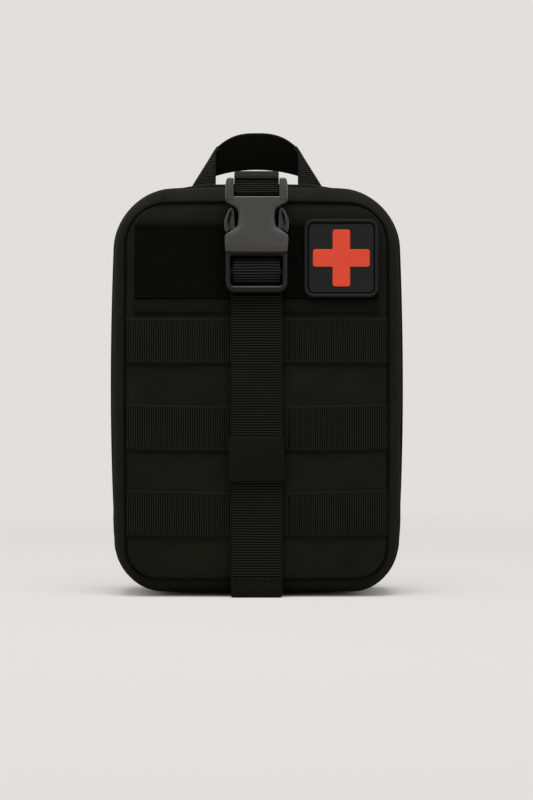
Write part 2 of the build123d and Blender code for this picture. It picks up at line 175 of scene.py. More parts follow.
class Sheet:
    """A material's node tree with one method for every node."""

    def __init__(self, name: str) -> None:
        """Make an empty node material.

        Args:
            name: The material's name.
        """
        self.material = bpy.data.materials.new(name)
        self.material.use_nodes = True
        self.tree = self.material.node_tree
        self.tree.nodes.clear()

    def add(self, kind: str, settings: dict[str, object] | None = None,
            inputs: dict[str | int, object] | None = None, output: str | int = 0) -> Wire:
        """Add a node, set it up, feed it and return one of its outputs.

        Args:
            kind: Blender's node type.
            settings: Properties to set first.
            inputs: Values or wires by socket name or number.
            output: The output to return.

        Returns:
            The chosen output as a wire.
        """
        node = self.tree.nodes.new(kind)
        for key, value in (settings or {}).items():
            setattr(node, key, value)
        for key, value in (inputs or {}).items():
            socket = node.inputs[key]
            if isinstance(value, Wire):
                self.tree.links.new(value.socket, socket)
            elif isinstance(value, tuple) and len(value) == 3 and socket.type == "RGBA":
                socket.default_value = (*value, 1.0)
            else:
                socket.default_value = value
        return Wire(self, node.outputs[output])

    def place(self) -> Wire:
        """Point on the surface in the pouch's own frame, in metres."""
        return self.add("ShaderNodeTexCoord", output="Object")

    def axes(self) -> tuple[Wire, Wire, Wire]:
        """X, Y and Z of the point on the surface."""
        return tuple(self.add("ShaderNodeSeparateXYZ", None, {0: self.place()}, i) for i in range(3))

    def strip(self) -> tuple[Wire, Wire]:
        """Metres along and across a strip of webbing, from its own map."""
        flat = self.add("ShaderNodeUVMap", {"uv_map": "strip"})
        return tuple(self.add("ShaderNodeSeparateXYZ", None, {0: flat}, i) for i in range(2))

    def grain(self, scale: float, detail: float = 2.0, rough: float = 0.5) -> Wire:
        """Noise whose blotches are about one over scale metres."""
        return self.add("ShaderNodeTexNoise", None, {"Vector": self.place(), "Scale": scale,
                                                     "Detail": detail, "Roughness": rough})

    def cells(self, scale: float) -> Wire:
        """Distance to the nearest point of a scattered set."""
        return self.add("ShaderNodeTexVoronoi", None, {"Vector": self.place(), "Scale": scale})

    def blend(self, share: Wire, low: "Point | Wire", high: "Point | Wire") -> Wire:
        """Mix two colours by a share."""
        return self.add("ShaderNodeMix", {"data_type": "RGBA"}, {0: share, 6: low, 7: high}, 2)

    def bump(self, height: Wire, depth: float, strength: float = 1.0) -> Wire:
        """Normal of a height from 0 to 1 that stands depth metres proud."""
        return self.add("ShaderNodeBump", None, {"Height": height, "Distance": depth,
                                                 "Strength": strength})

    def close(self, colour: "Point | Wire", roughness: "float | Wire", normal: Wire | None = None,
              **constants: float) -> bpy.types.Material:
        """Finish the material with one principled shader.

        Args:
            colour: Base colour.
            roughness: Roughness.
            normal: Bumped normal, if there is one.
            **constants: Plain numbers for other sockets, with underscores for spaces.

        Returns:
            The finished material.
        """
        inputs: dict[str | int, object] = {"Base Color": colour, "Roughness": roughness}
        if normal is not None:
            inputs["Normal"] = normal
        inputs.update({key.replace("_", " "): value for key, value in constants.items()})
        shader = self.add("ShaderNodeBsdfPrincipled", None, inputs)
        self.add_output(shader)
        return self.material

    def add_output(self, shader: Wire) -> None:
        """Join a shader to the material's output."""
        out = self.tree.nodes.new("ShaderNodeOutputMaterial")
        self.tree.links.new(shader.socket, out.inputs["Surface"])


# --------------------------------------------------------------------------- finishes
@dataclass(frozen=True)
class Finish:
    """A named surface finish; the material is made once and shared."""

    name: str
    colour: Point

    def material(self) -> bpy.types.Material:
        """Return the finish's material, making it on first use."""
        name = f"{self.name}_look"
        found = bpy.data.materials.get(name)
        return found if found else self.make(Sheet(name))

    def make(self, sheet: Sheet) -> bpy.types.Material:
        """Build the material.

        Args:
            sheet: The empty material to fill.

        Returns:
            The finished material.
        """
        raise NotImplementedError

    def shade(self, factor: float) -> Point:
        """Colour scaled by a factor."""
        return tuple(channel * factor for channel in self.colour)


@dataclass(frozen=True)
class Woven(Finish):
    """Coated plain-weave cloth with soft mottling and painted shade in the valleys between its threads."""

    pitch: float = 0.75 * MM
    depth: float = 0.16 * MM
    valley_shade: float = 0.65

    def make(self, sheet: Sheet) -> bpy.types.Material:
        """Build crossing threads, worn blotches and a dry sheen."""
        along, across = sheet.strip()
        turn = math.pi / self.pitch
        threads = ((along * turn).sin() * (across * turn).sin()) * 0.5 + 0.5
        slub = sheet.grain(900.0, 3.0, 0.6)
        height = threads * 0.7 + slub * 0.3
        blotch = sheet.grain(38.0, 4.0, 0.55).ramp(0.3, 0.7)
        # The threads' height darkens the colour between them: painted shade in the weave's valleys. Blotch
        # and slub add random tone.
        share = (height * self.valley_shade + blotch * 0.35 + slub * 0.25).at_most(1.0)
        colour = sheet.blend(share, self.shade(0.4), self.shade(1.4))
        rough = blotch * 0.08 + 0.86
        return sheet.close(colour, rough, sheet.bump(height, self.depth), Specular_IOR_Level=0.05)


@dataclass(frozen=True)
class Ribbed(Finish):
    """Heavy webbing with ribs across its length and plain woven edges, with painted shade in the rib grooves
    and painted highlight on the rib crests.
    """

    pitch: float = 1.3 * MM
    depth: float = 0.34 * MM
    half: float = 12.7 * MM
    selvage: float = 0.9 * MM
    # Colour factors in the rib grooves and on the rib crests: painted shade and painted highlight.
    low: float = 0.0
    high: float = 2.9

    def make(self, sheet: Sheet) -> bpy.types.Material:
        """Build the ribs, their yarns and the selvages."""
        along, across = sheet.strip()
        drift = sheet.grain(60.0, 2.0) * (0.35 * MM)
        wave = ((along + drift) * (math.pi / self.pitch)).sin().size()
        edge = across.size().ramp(self.half - self.selvage * 1.6, self.half - self.selvage * 0.6)
        ribs = wave * wave * (1.0 - edge) + edge * 0.5
        yarn = (across * (math.pi / (0.42 * MM)) + wave * 1.5).sin() * 0.5 + 0.5
        fuzz = sheet.grain(1400.0, 3.0, 0.65)
        height = ribs * 0.8 + yarn * 0.1 + fuzz * 0.1
        patch = sheet.grain(45.0, 3.0)
        # Rib height drives the colour: painted shade in the grooves and painted highlight on the crests; yarn
        # does the same on a small scale, and fuzz and patch add random tone.
        share = (ribs * 1.3 + yarn * 0.08 + fuzz * 0.12 + patch * 0.2 - 0.42).at_least(0.0).at_most(1.0)
        colour = sheet.blend(share, self.shade(self.low), self.shade(self.high))
        return sheet.close(colour, 0.82, sheet.bump(height, self.depth), Specular_IOR_Level=0.06)


@dataclass(frozen=True)
class Pile(Finish):
    """Brushed loop pile: a mass of tiny tangled loops."""

    loops: float = 1500.0
    depth: float = 0.5 * MM

    def make(self, sheet: Sheet) -> bpy.types.Material:
        """Build tangled loops over faint brushed lanes."""
        tangle = sheet.grain(self.loops, 5.0, 0.75)
        rings = sheet.cells(self.loops * 0.9)
        lanes = sheet.grain(140.0, 3.0, 0.6)
        height = tangle * 0.6 + rings * 0.4
        share = (tangle * 0.55 + lanes * 0.5 - 0.1).at_least(0.0).at_most(1.0)
        colour = sheet.blend(share, self.shade(0.45), self.shade(1.5))
        return sheet.close(colour, 0.95, sheet.bump(height, self.depth), Specular_IOR_Level=0.0)


@dataclass(frozen=True)
class Hooks(Finish):
    """Hook tape: rows of stiff hooks on a flat ground."""

    pitch: float = 1.5 * MM

    def make(self, sheet: Sheet) -> bpy.types.Material:
        """Build the hook rows."""
        along, across = sheet.strip()
        turn = math.pi / self.pitch
        hooks = ((along * turn).sin().size() * (across * turn).sin().size()).ramp(0.45, 0.8)
        colour = sheet.blend(hooks, self.shade(0.5), self.shade(1.6))
        return sheet.close(colour, 0.6, sheet.bump(hooks, 0.8 * MM), Specular_IOR_Level=0.3)


@dataclass(frozen=True)
class Moulded(Finish):
    """Injection-moulded plastic with fine spark texture and rubbed areas."""

    roughness: float = 0.42
    depth: float = 0.03 * MM
    specular: float = 0.5

    def make(self, sheet: Sheet) -> bpy.types.Material:
        """Build the spark texture and slight wear."""
        spark = sheet.grain(2600.0, 2.0, 0.6)
        rub = sheet.grain(70.0, 4.0, 0.6).ramp(0.35, 0.75)
        colour = sheet.blend(rub * 0.6 + spark * 0.25, self.shade(0.86), self.shade(1.16))
        rough = rub * -0.07 + spark * 0.08 + self.roughness
        return sheet.close(colour, rough, sheet.bump(spark, self.depth),
                           Specular_IOR_Level=self.specular)


@dataclass(frozen=True)
class Coated(Finish):
    """Black coated metal with bare glints on rubbed spots."""

    roughness: float = 0.38

    def make(self, sheet: Sheet) -> bpy.types.Material:
        """Build the coat, its speckle and the wear."""
        speckle = sheet.grain(1800.0, 3.0)
        wear = sheet.grain(260.0, 5.0, 0.7).ramp(0.66, 0.74)
        colour = sheet.blend(wear, self.shade(1.0), (0.2, 0.2, 0.2))
        return sheet.close(colour, speckle * 0.12 + self.roughness, sheet.bump(speckle, 0.02 * MM),
                           Metallic=0.35)


@dataclass(frozen=True)
class OpenMesh(Finish):
    """Knitted mesh cloth with round see-through holes."""

    pitch: float = 2.4 * MM

    def make(self, sheet: Sheet) -> bpy.types.Material:
        """Build the knit and cut its holes out with alpha."""
        along, across = sheet.strip()
        turn = math.pi / self.pitch
        cell = (along * turn).sin().size() * (across * turn).sin().size()
        hole = cell.ramp(0.5, 0.62)
        fuzz = sheet.grain(1500.0, 3.0)
        colour = sheet.blend(fuzz, self.shade(0.6), self.shade(1.5))
        return sheet.close(colour, 0.85, sheet.bump(1.0 - cell, 0.5 * MM), Specular_IOR_Level=0.2,
                           Alpha=1.0 - hole)


@dataclass(frozen=True)
class Rubbed(Finish):
    """Soft matte moulded rubber."""

    roughness: float = 0.62
    specular: float = 0.35
    grain_depth: float = 0.05 * MM

    def make(self, sheet: Sheet) -> bpy.types.Material:
        """Build the fine matte grain with a little dust."""
        grain = sheet.grain(2200.0, 2.0, 0.6)
        dust = sheet.grain(95.0, 4.0, 0.6).ramp(0.4, 0.8)
        colour = sheet.blend(dust * 0.4 + grain * 0.3, self.shade(0.92), self.shade(1.1))
        rough = grain * 0.1 + dust * 0.06 + self.roughness
        return sheet.close(colour, rough, sheet.bump(grain, self.grain_depth),
                           Specular_IOR_Level=self.specular)


BLACK_OLIVE: Point = (0.0078, 0.0083, 0.0056)
CLOTH = Woven("case_cloth", BLACK_OLIVE)
BINDING = Woven("binding_cloth", (0.0062, 0.0066, 0.0046), pitch=0.5 * MM, depth=0.08 * MM)
# Near-black cord colour: painted shade of the groove round the front panel.
SEAM_SHADE = Woven("seam_cord_shade", (0.0022, 0.0023, 0.0017), pitch=0.5 * MM, depth=0.05 * MM)
KEEPER_ELASTIC = Woven("keeper_elastic", (0.0062, 0.0065, 0.0047), pitch=0.55 * MM, depth=0.1 * MM)
LINING = Woven("lining_cloth", (0.020, 0.020, 0.019), pitch=0.45 * MM, depth=0.05 * MM)
ELASTIC = Ribbed("loop_elastic", (0.016, 0.016, 0.015), pitch=0.9 * MM, depth=0.2 * MM, half=19 * MM)
ROW_WEB = Ribbed("row_webbing", (0.0040, 0.0043, 0.0030), high=3.5)
STRAP_WEB = Ribbed("strap_webbing", (0.0041, 0.0044, 0.0030), pitch=1.5 * MM, half=14.5 * MM, high=3.5)
# Lighter, neutral copy of the strap webbing where it turns round the plug's bar: painted light.
TURN_WEB_LIT = Ribbed("turn_webbing", (0.0062, 0.0062, 0.0060), pitch=1.5 * MM, depth=0.45 * MM,
                  half=14.2 * MM, high=3.9)
# Lighter, greyer copies of the strap webbing for its upper run through the socket and its fold over the top:
# painted light from the top lamp.
UPPER_WEB_LIT = Ribbed("upper_webbing", (0.0070, 0.0071, 0.0066), pitch=1.15 * MM, depth=0.45 * MM,
                   half=13.8 * MM, high=4.2)
# Darker, flatter copy of the handle webbing for the arch, whose face turns down away from the top light:
# painted shade.
HANDLE_ARCH_SHADE = Ribbed("handle_arch_shade", (0.0044, 0.0047, 0.0037), pitch=1.4 * MM, half=12.7 * MM,
                      low=0.45, high=1.5)
UPPER_FACE_LIT = Woven("upper_webbing_face_lit", (0.0118, 0.0122, 0.0098), pitch=0.6 * MM, depth=0.08 * MM)
HEM = Woven("hem_cloth", (0.0054, 0.0058, 0.0039))
HANDLE_WEB = Ribbed("handle_webbing", (0.0116, 0.0121, 0.0093), pitch=1.4 * MM, half=12.7 * MM)
TAPE = Woven("zip_tape_cloth", (0.011, 0.011, 0.010), pitch=0.4 * MM, depth=0.06 * MM)
PILE = Pile("loop_pile", (0.0040, 0.0040, 0.0038))
HOOKS = Hooks("hook_tape", (0.010, 0.010, 0.010))
BUCKLE = Moulded("buckle_plastic", (0.0435, 0.044, 0.0415), specular=0.4)
COIL = Moulded("coil_plastic", (0.012, 0.012, 0.012), roughness=0.35)
METAL = Coated("coated_metal", (0.014, 0.014, 0.014))
PATCH_RUBBER = Rubbed("patch_rubber", (0.0115, 0.0115, 0.0115), specular=0.12)
PATCH_RIM = Rubbed("patch_rim_rubber", (0.0098, 0.0098, 0.0098), specular=0.12)
# Near-black rubber for the bottom of the patch's groove: painted shade in the recess.
PATCH_GROOVE_SHADE = Rubbed("patch_groove_shade", (0.0010, 0.0010, 0.0010), specular=0.03)
PLUS_RUBBER = Rubbed("plus_rubber", (0.63, 0.062, 0.031), specular=0.1)
# Darker copy of the buckle plastic for the prongs' rims and lenses: painted shade of the buckle's rounded
# sides.
PRONG = Moulded("prong_plastic", (0.027, 0.0272, 0.026), specular=0.4)
PLUG = Moulded("plug_plastic", (0.0075, 0.0075, 0.0074), specular=0.22)
PULL_RUBBER = Rubbed("pull_rubber", (0.016, 0.016, 0.016))
KNIT = OpenMesh("pocket_mesh", (0.016, 0.016, 0.016))
THREAD = Rubbed("stitch_thread", (0.0058, 0.0060, 0.0046), roughness=0.8, specular=0.04)


# --------------------------------------------------------------------------- meshes
@dataclass
class Skin:
    """A mesh under construction, with metres along and across as its map."""

    points: list[Point] = field(default_factory=list)
    faces: list[tuple[int, ...]] = field(default_factory=list)
    flats: list[Flat] = field(default_factory=list)

    def grid(self, rows: Sequence[Sequence[Point]], flats: Sequence[Sequence[Flat]], wrap: bool = False,
             flip: bool = False) -> list[list[int]]:
        """Add a sheet of quads.

        Args:
            rows: Points, row by row.
            flats: Map of each point.
            wrap: Join each row's end to its start.
            flip: Turn the faces over.

        Returns:
            The index of each point, row by row.
        """
        table: list[list[int]] = []
        for row, flat in zip(rows, flats):
            start = len(self.points)
            self.points.extend(tuple(p) for p in row)
            self.flats.extend(flat)
            table.append(list(range(start, start + len(row))))
        self.sew(table, wrap, flip)
        return table

    def sew(self, table: list[list[int]], wrap: bool = False, flip: bool = False) -> None:
        """Add quads between rows of points that are already there.

        Args:
            table: Point numbers, row by row.
            wrap: Join each row's end to its start.
            flip: Turn the faces over.
        """
        for low, high in zip(table, table[1:]):
            count = len(low)
            for i in range(count if wrap else count - 1):
                j = (i + 1) % count
                quad = (low[i], low[j], high[j], high[i])
                self.faces.append(quad[::-1] if flip else quad)

    def cap(self, table: list[list[int]], flip: bool = False) -> None:
        """Close both ends of a stack of rings."""
        for end in (table[0][::-1], table[-1]):
            self.faces.append(tuple(end[::-1] if flip else end))

    def build(self, name: str, finish: Finish) -> bpy.types.Object:
        """Turn the points and faces into an object.

        Args:
            name: The object's name.
            finish: Its finish.

        Returns:
            The new object.
        """
        mesh = bpy.data.meshes.new(name)
        mesh.from_pydata(self.points, [], self.faces)
        layer = mesh.uv_layers.new(name="strip")
        for loop in mesh.loops:
            layer.data[loop.index].uv = self.flats[loop.vertex_index]
        mesh.polygons.foreach_set("use_smooth", [True] * len(mesh.polygons))
        mesh.materials.append(finish.material())
        mesh.validate()
        return link(name, mesh)


def link(name: str, data: bpy.types.ID) -> bpy.types.Object:
    """Make an object of its data and put it in the scene."""
    thing = bpy.data.objects.new(name, data)
    bpy.context.scene.collection.objects.link(thing)
    return thing


def add_modifier(thing: bpy.types.Object, kind: str, **settings: object) -> bpy.types.Modifier:
    """Add a modifier with its settings.

    Args:
        thing: The object.
        kind: Blender's modifier type.
        **settings: The modifier's properties.

    Returns:
        The modifier.
    """
    modifier = thing.modifiers.new(kind.lower(), kind)
    for key, value in settings.items():
        setattr(modifier, key, value)
    return modifier


def dress(thing: bpy.types.Object, body: Body | None, slot: str, *nodes: str) -> bpy.types.Object:
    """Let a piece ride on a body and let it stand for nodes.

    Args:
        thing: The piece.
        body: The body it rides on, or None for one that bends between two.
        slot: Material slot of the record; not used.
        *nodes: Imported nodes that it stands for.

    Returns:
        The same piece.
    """
    if body:
        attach(thing, body.value)
    if nodes:
        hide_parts(*nodes)
    LOG.info("%s rides on %s", thing.name, body.value if body else "two bodies")
    return thing


def ease(value: float) -> float:
    """Smooth step from 0 to 1."""
    value = min(1.0, max(0.0, value))
    return value * value * (3 - 2 * value)


def lerp(a: float, b: float, share: float) -> float:
    """Straight mix of two numbers."""
    return a + (b - a) * share


@dataclass(frozen=True)
class Edges:
    """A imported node's box, in metres."""

    low: Vector
    high: Vector

    @staticmethod
    def of(*nodes: str) -> "Edges":
        """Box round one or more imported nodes."""
        boxes = [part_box(node) for node in nodes]
        low = Vector(min(b[0][i] for b in boxes) for i in range(3))
        high = Vector(max(b[1][i] for b in boxes) for i in range(3))
        return Edges(low, high)

    @property
    def mid(self) -> Vector:
        """Centre of the box."""
        return (self.low + self.high) / 2

    @property
    def size(self) -> Vector:
        """Side lengths of the box."""
        return self.high - self.low


@dataclass(frozen=True)
class Outline:
    """A rounded rectangle in the XZ plane whose sides bow outwards a little."""

    half_w: float
    half_h: float
    radius: float
    mid_z: float
    bow_side: float = 0.0
    bow_top: float = 0.0
    bow_low: float = 0.0
    radius_low: float | None = None
    taper_low: float = 0.0
    per_side: int = 24
    per_corner: int = 14

    def spots(self) -> list[Flat]:
        """Points round the outline, clockwise from the upper edge's left end.

        Returns:
            X and Z of each point, as many for every outline with the same counts.
        """
        low = self.radius if self.radius_low is None else self.radius_low
        w, h = self.half_w, self.half_h
        corners = [(w, h, self.radius, 90.0), (w, -h, low, 0.0), (-w, -h, low, -90.0),
                   (-w, h, self.radius, 180.0)]
        raw: list[Flat] = []
        for i, (cx, cz, radius, angle) in enumerate(corners):
            mx, mz = cx - math.copysign(radius, cx), cz - math.copysign(radius, cz)
            before = corners[i - 1]
            first = math.radians(angle)
            end = (mx + radius * math.cos(first), mz + radius * math.sin(first))
            bx, bz = (before[0] - math.copysign(before[2], before[0]),
                      before[1] - math.copysign(before[2], before[1]))
            start = (bx + before[2] * math.cos(first), bz + before[2] * math.sin(first))
            raw.extend((lerp(start[0], end[0], k / self.per_side),
                        lerp(start[1], end[1], k / self.per_side))
                       for k in range(self.per_side))
            raw.extend((mx + radius * math.cos(turn), mz + radius * math.sin(turn))
                       for turn in (first - math.pi / 2 * k / self.per_corner
                                    for k in range(self.per_corner)))
        return [self.bowed(x, z) for x, z in raw]

    def bowed(self, x: float, z: float) -> Flat:
        """Pull the ends of each side in, which leaves its middle proud."""
        tall, wide = z / self.half_h, x / self.half_w
        bow = self.bow_top if z > 0 else self.bow_low
        side = self.bow_side + (self.taper_low if z < 0 else 0.0)
        return (x * (1 - side * tall * tall / self.half_w),
                self.mid_z + z * (1 - bow * wide * wide / self.half_h))


# --------------------------------------------------------------------------- the case
def ripple(x: float, y: float, z: float, size: float, depth: float) -> float:
    """Gentle unevenness of stuffed cloth.

    Args:
        x: Place in metres.
        y: Place in metres.
        z: Place in metres.
        size: Width of one swell.
        depth: Height of the swells.

    Returns:
        A signed height in metres.
    """
    return depth * noise.noise(Vector((x / size, y / size, z / size)))


@dataclass(frozen=True)
class Form:
    """The pouch's soft outer form: where its cloth runs from the front seam to the back."""

    panel: Edges
    body: Edges
    front_y: float
    zip_y: float
    zip_end_z: float
    panel_radius: float = 24 * MM
    panel_radius_low: float = 18.5 * MM
    body_radius: float = 32.5 * MM
    body_radius_low: float = 27 * MM
    wall: float = 3.5 * MM
    valley: float = 6.0 * MM
    crown: float = 1.1 * MM
    dip: float = 1.6 * MM
    shoulder: float = 0.62

    @staticmethod
    def read() -> "Form":
        """Take the form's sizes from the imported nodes."""
        coil = Edges.of("zip_coil_front", "zip_coil_rear")
        panel = Edges.of("front_piping")
        body = Edges.of("rear_gusset", "front_gusset")
        return Form(panel, body, panel.low.y, coil.mid.y, coil.low.z)

    def seam(self, inset: float = 0.0) -> Outline:
        """The front panel's seam line, or one inset from it."""
        size = self.panel.size
        return Outline(size.x / 2 + 1.2 * MM - inset, size.z / 2 + 1.3 * MM - inset,
                       self.panel_radius - inset,
                       self.panel.mid.z + 1.1 * MM, 0.5 * MM, 1.2 * MM, 0.6 * MM,
                       self.panel_radius_low - inset, 0.5 * MM)

    def ring(self, y: float, inset: float = 0.0) -> Outline:
        """Outline of the outer cloth at a depth, or one inset from it.

        Args:
            y: Depth of the section.
            inset: How far inside the outer cloth.

        Returns:
            The section's outline.
        """
        full_y = self.zip_y - self.valley - 9 * MM
        share = min(1.0, max(0.0, (y - self.front_y - 2 * MM) / (full_y - self.front_y)))
        swell = math.sin(share * math.pi / 2) ** self.shoulder
        front, back = self.panel.size, self.body.size
        behind = max(0.0, y - self.zip_y) / (self.body.high.y - self.zip_y)
        belly = 0.5 * MM * math.sin(math.pi * min(1.0, behind)) - 0.8 * MM * behind ** 3
        half_w = lerp(front.x, back.x, swell) / 2 + lerp(1.2, 1.1, swell) * MM + belly - inset
        half_h = lerp(front.z, back.z, swell) / 2 + lerp(1.3, 0.0, swell) * MM + belly * 0.4 - inset
        radius = lerp(self.panel_radius, self.body_radius, swell) - inset
        low = lerp(self.panel_radius_low, self.body_radius_low, swell) - inset
        mid_z = lerp(self.panel.mid.z + 1.1 * MM, self.body.mid.z, swell)
        return Outline(half_w, half_h, radius, mid_z, lerp(0.5, 3.2, swell) * MM,
                       lerp(1.2, 3.5, swell) * MM,
                       lerp(0.6, 0.8, swell) * MM, low, lerp(0.5, 1.0, swell) * MM)

    def face(self, x: float, z: float, lift: float = 0.0) -> float:
        """Depth of the padded front at a place, or of something lying on it.

        Args:
            x: Place across the front.
            z: Place up the front.
            lift: How far it stands off the cloth.

        Returns:
            The y of the surface.
        """
        half_w, half_h = self.panel.size.x / 2, self.panel.size.z / 2
        from_side = half_w - abs(x)
        from_end = half_h - abs(z - self.panel.mid.z)
        near = max(0.0, min(from_side, from_end))
        swell = (1 - (x / half_w) ** 2) * (1 - ((z - self.panel.mid.z) / half_h) ** 2)
        edge = self.dip * math.exp(-near / (3.2 * MM))
        return self.front_y - self.crown * max(0.0, swell) + edge - lift

    def split(self, z: float) -> float:
        """Depth of the line between cover and case at a height: the zip, then the folded corner."""
        if z >= self.zip_end_z:
            return self.zip_y
        rise = self.zip_end_z - self.panel.low.z
        share = max(0.0, z - self.panel.low.z) / rise
        return lerp(self.front_y, self.zip_y, share)

    def gap(self, z: float) -> float:
        """Half the open valley between the two gussets at a height."""
        return 0.15 * MM + (self.valley - 0.15 * MM) * ease((z - self.zip_end_z + 2 * MM) / (9 * MM))

    def meeting(self, index: int, side: int) -> float:
        """Depth where a gusset ends at one place round the outline.

        Args:
            index: Which spot of the outline.
            side: -1 for the cover's edge and +1 for the case's.

        Returns:
            The y at which the cloth ends.
        """
        steps = 60
        first = self.front_y + 2.5 * MM
        last = self.zip_y + self.valley
        for i in range(steps + 1):
            y = lerp(first, last, i / steps)
            z = self.ring(y).spots()[index][1]
            if y >= self.split(z) + side * self.gap(z):
                return max(first, y)
        return last


@dataclass
class CaseShell:
    """Padded shells of the cover and the case, with their seams and piping."""

    form: Form
    rings: int = 16
    cord: float = 1.35 * MM
    welt: float = 1.1 * MM
    step: float = 1.9 * MM

    def gusset(self, name: str, side: int) -> bpy.types.Object:
        """Build one gusset as a closed padded band.

        Args:
            name: The piece's name.
            side: -1 for the cover's gusset and +1 for the case's.

        Returns:
            The new piece.
        """
        form = self.form
        count = len(form.ring(form.zip_y).spots())
        meets = [form.meeting(i, side) for i in range(count)]
        steps = [self.step * ease((z - form.zip_end_z) / (25 * MM)) if side < 0 else 0.0
                 for _, z in form.ring(form.zip_y).spots()]
        fixed = form.front_y + 1.5 * MM if side < 0 else form.body.high.y - 0.4 * MM
        skin = Skin()
        layers: list[list[Point]] = []
        flats: list[list[Flat]] = []
        roll = 1.1 * MM
        profile = [(k / self.rings, 0.0) for k in range(self.rings + 1)]
        profile += [(1.0, form.wall * 0.45), (0.985, form.wall)]
        profile += [(1 - k / 6, form.wall) for k in range(1, 7)]
        for share, inset in profile:
            row: list[Point] = []
            flat: list[Flat] = []
            for i in range(count):
                y = lerp(fixed, meets[i], share)
                tuck = roll * (1 - math.sqrt(max(0.0, 1 - max(0.0, share - 0.9) ** 2 * 100)))
                x, z = form.ring(y, max(inset, tuck + steps[i] * ease(share))).spots()[i]
                if inset == 0.0:
                    calm = ease(share / 0.15) * ease((1 - share) / 0.1)
                    swell = ripple(x, y, z, 26 * MM, 0.5 * MM) * calm
                    out = Vector((x, 0, z - form.body.mid.z)).normalized() * swell
                    x, z = x + out.x, z + out.z
                row.append((x, y, z))
                flat.append((i * 3.3 * MM, y))
            layers.append(row)
            flats.append(flat)
        table = skin.grid(layers, flats, wrap=True, flip=side > 0)
        skin.sew([table[-1], table[0]], wrap=True, flip=side > 0)
        return skin.build(name, CLOTH)

    def face_panel(self, name: str, y_of: Callable[[float, float], float], back_y: float,
                   finish: Finish, inset: float = 1.7 * MM) -> bpy.types.Object:
        """Build a crowned panel as a closed plate.

        Args:
            name: The piece's name.
            y_of: Depth of its face at a place.
            back_y: Depth of its flat back.
            finish: Its finish.
            inset: Its edge inside the seam line.

        Returns:
            The new piece.
        """
        skin = Skin()
        rim = self.form.seam(inset).spots()
        mid_z = self.form.panel.mid.z
        layers, flats = [], []
        for share in CROWN:
            spots = [(x * share, mid_z + (z - mid_z) * share) for x, z in rim]
            layers.append([(x, y_of(x, z), z) for x, z in spots])
            flats.append(spots)
        back = [(x, back_y, z) for x, z in rim]
        table = skin.grid([back] + layers, [list(rim)] + flats, wrap=True)
        skin.faces.append(tuple(table[-1]))
        skin.faces.append(tuple(reversed(table[0])))
        return skin.build(name, finish)

    def tube(self, name: str, path: Sequence[Point], radius: float, finish: Finish,
             closed: bool = True) -> bpy.types.Object:
        """Build a round cord of cloth along a path.

        Args:
            name: The piece's name.
            path: Points along it.
            radius: Its radius.
            finish: Its finish.
            closed: Join its end to its start.

        Returns:
            The new piece.
        """
        skin = Skin()
        sides = 10
        layers, flats = [], []
        travelled = 0.0
        count = len(path)
        for i, spot in enumerate(path):
            before = Vector(path[(i - 1) % count if closed else max(0, i - 1)])
            after = Vector(path[(i + 1) % count if closed else min(count - 1, i + 1)])
            way = (after - before).normalized()
            out = way.cross(Vector((0, 1, 0))).normalized()
            up = out.cross(way)
            ring = []
            for k in range(sides):
                a = 2 * math.pi * k / sides
                ring.append(tuple(Vector(spot) + out * radius * math.cos(a) + up * radius * math.sin(a)))
            travelled += (Vector(spot) - before).length if i else 0.0
            layers.append(ring)
            flats.append([(travelled, radius * 2 * math.pi * k / sides) for k in range(sides)])
        table = skin.grid(layers, flats, wrap=True)
        if closed:
            skin.sew([table[-1], table[0]], wrap=True)
        else:
            skin.cap(table)
        return skin.build(name, finish)

    def build(self) -> None:
        """Make both shells, their piping and their panels."""
        form = self.form
        cover = self.gusset("cover_gusset", -1)
        dress(cover, Body.COVER, "case_fabric", "front_gusset")
        case = self.gusset("case_gusset", 1)
        dress(case, Body.CASE, "case_fabric", "rear_gusset")
        panel_back = Edges.of("front_panel").high.y
        face = self.face_panel("cover_face", form.face, panel_back, CLOTH)
        dress(face, Body.COVER, "case_fabric", "front_panel")
        # The piping cord is real, but its near-black colour is painted shade of the seam's groove.
        cord_y = form.front_y + 1.25 * MM
        path = [(x, cord_y, z) for x, z in form.seam(0.75 * MM).spots()]
        cord = self.tube("cover_piping", path, self.cord * 0.56, SEAM_SHADE)
        dress(cord, Body.COVER, "piping", "front_piping")
        path = [(x, form.zip_y + form.valley + 0.8 * MM, z) for x, z in Zip(form).line(0.3 * MM)]
        dress(self.tube("case_welt", path, self.welt, BINDING, closed=False), Body.CASE, "piping")
        back = Edges.of("back_panel")
        rear_ring = form.ring(back.high.y - self.cord)
        path = [(x, back.high.y - self.cord, z) for x, z in rear_ring.spots()]
        dress(self.tube("case_piping", path, self.cord, BINDING), Body.CASE, "piping", "rear_piping")
        dress(self.back_plate(back, rear_ring), Body.CASE, "case_fabric", "back_panel")

    def back_plate(self, back: Edges, rim: Outline) -> bpy.types.Object:
        """Build the pouch's back panel inside its piping."""
        skin = Skin()
        spots = rim.spots()
        layers, flats = [], []
        for share, y in ((0.99, back.low.y), (0.99, back.high.y - 1.2 * MM),
                         (0.975, back.high.y - 0.3 * MM),
                         (0.9, back.high.y), (0.6, back.high.y), (0.25, back.high.y)):
            ring = [(x * share, y, rim.mid_z + (z - rim.mid_z) * share) for x, z in spots]
            layers.append(ring)
            flats.append([(p[0], p[2]) for p in ring])
        table = skin.grid(layers, flats, wrap=True, flip=True)
        skin.faces.append(tuple(reversed(table[-1])))
        skin.faces.append(tuple(table[0]))
        return skin.build("case_back", CLOTH)


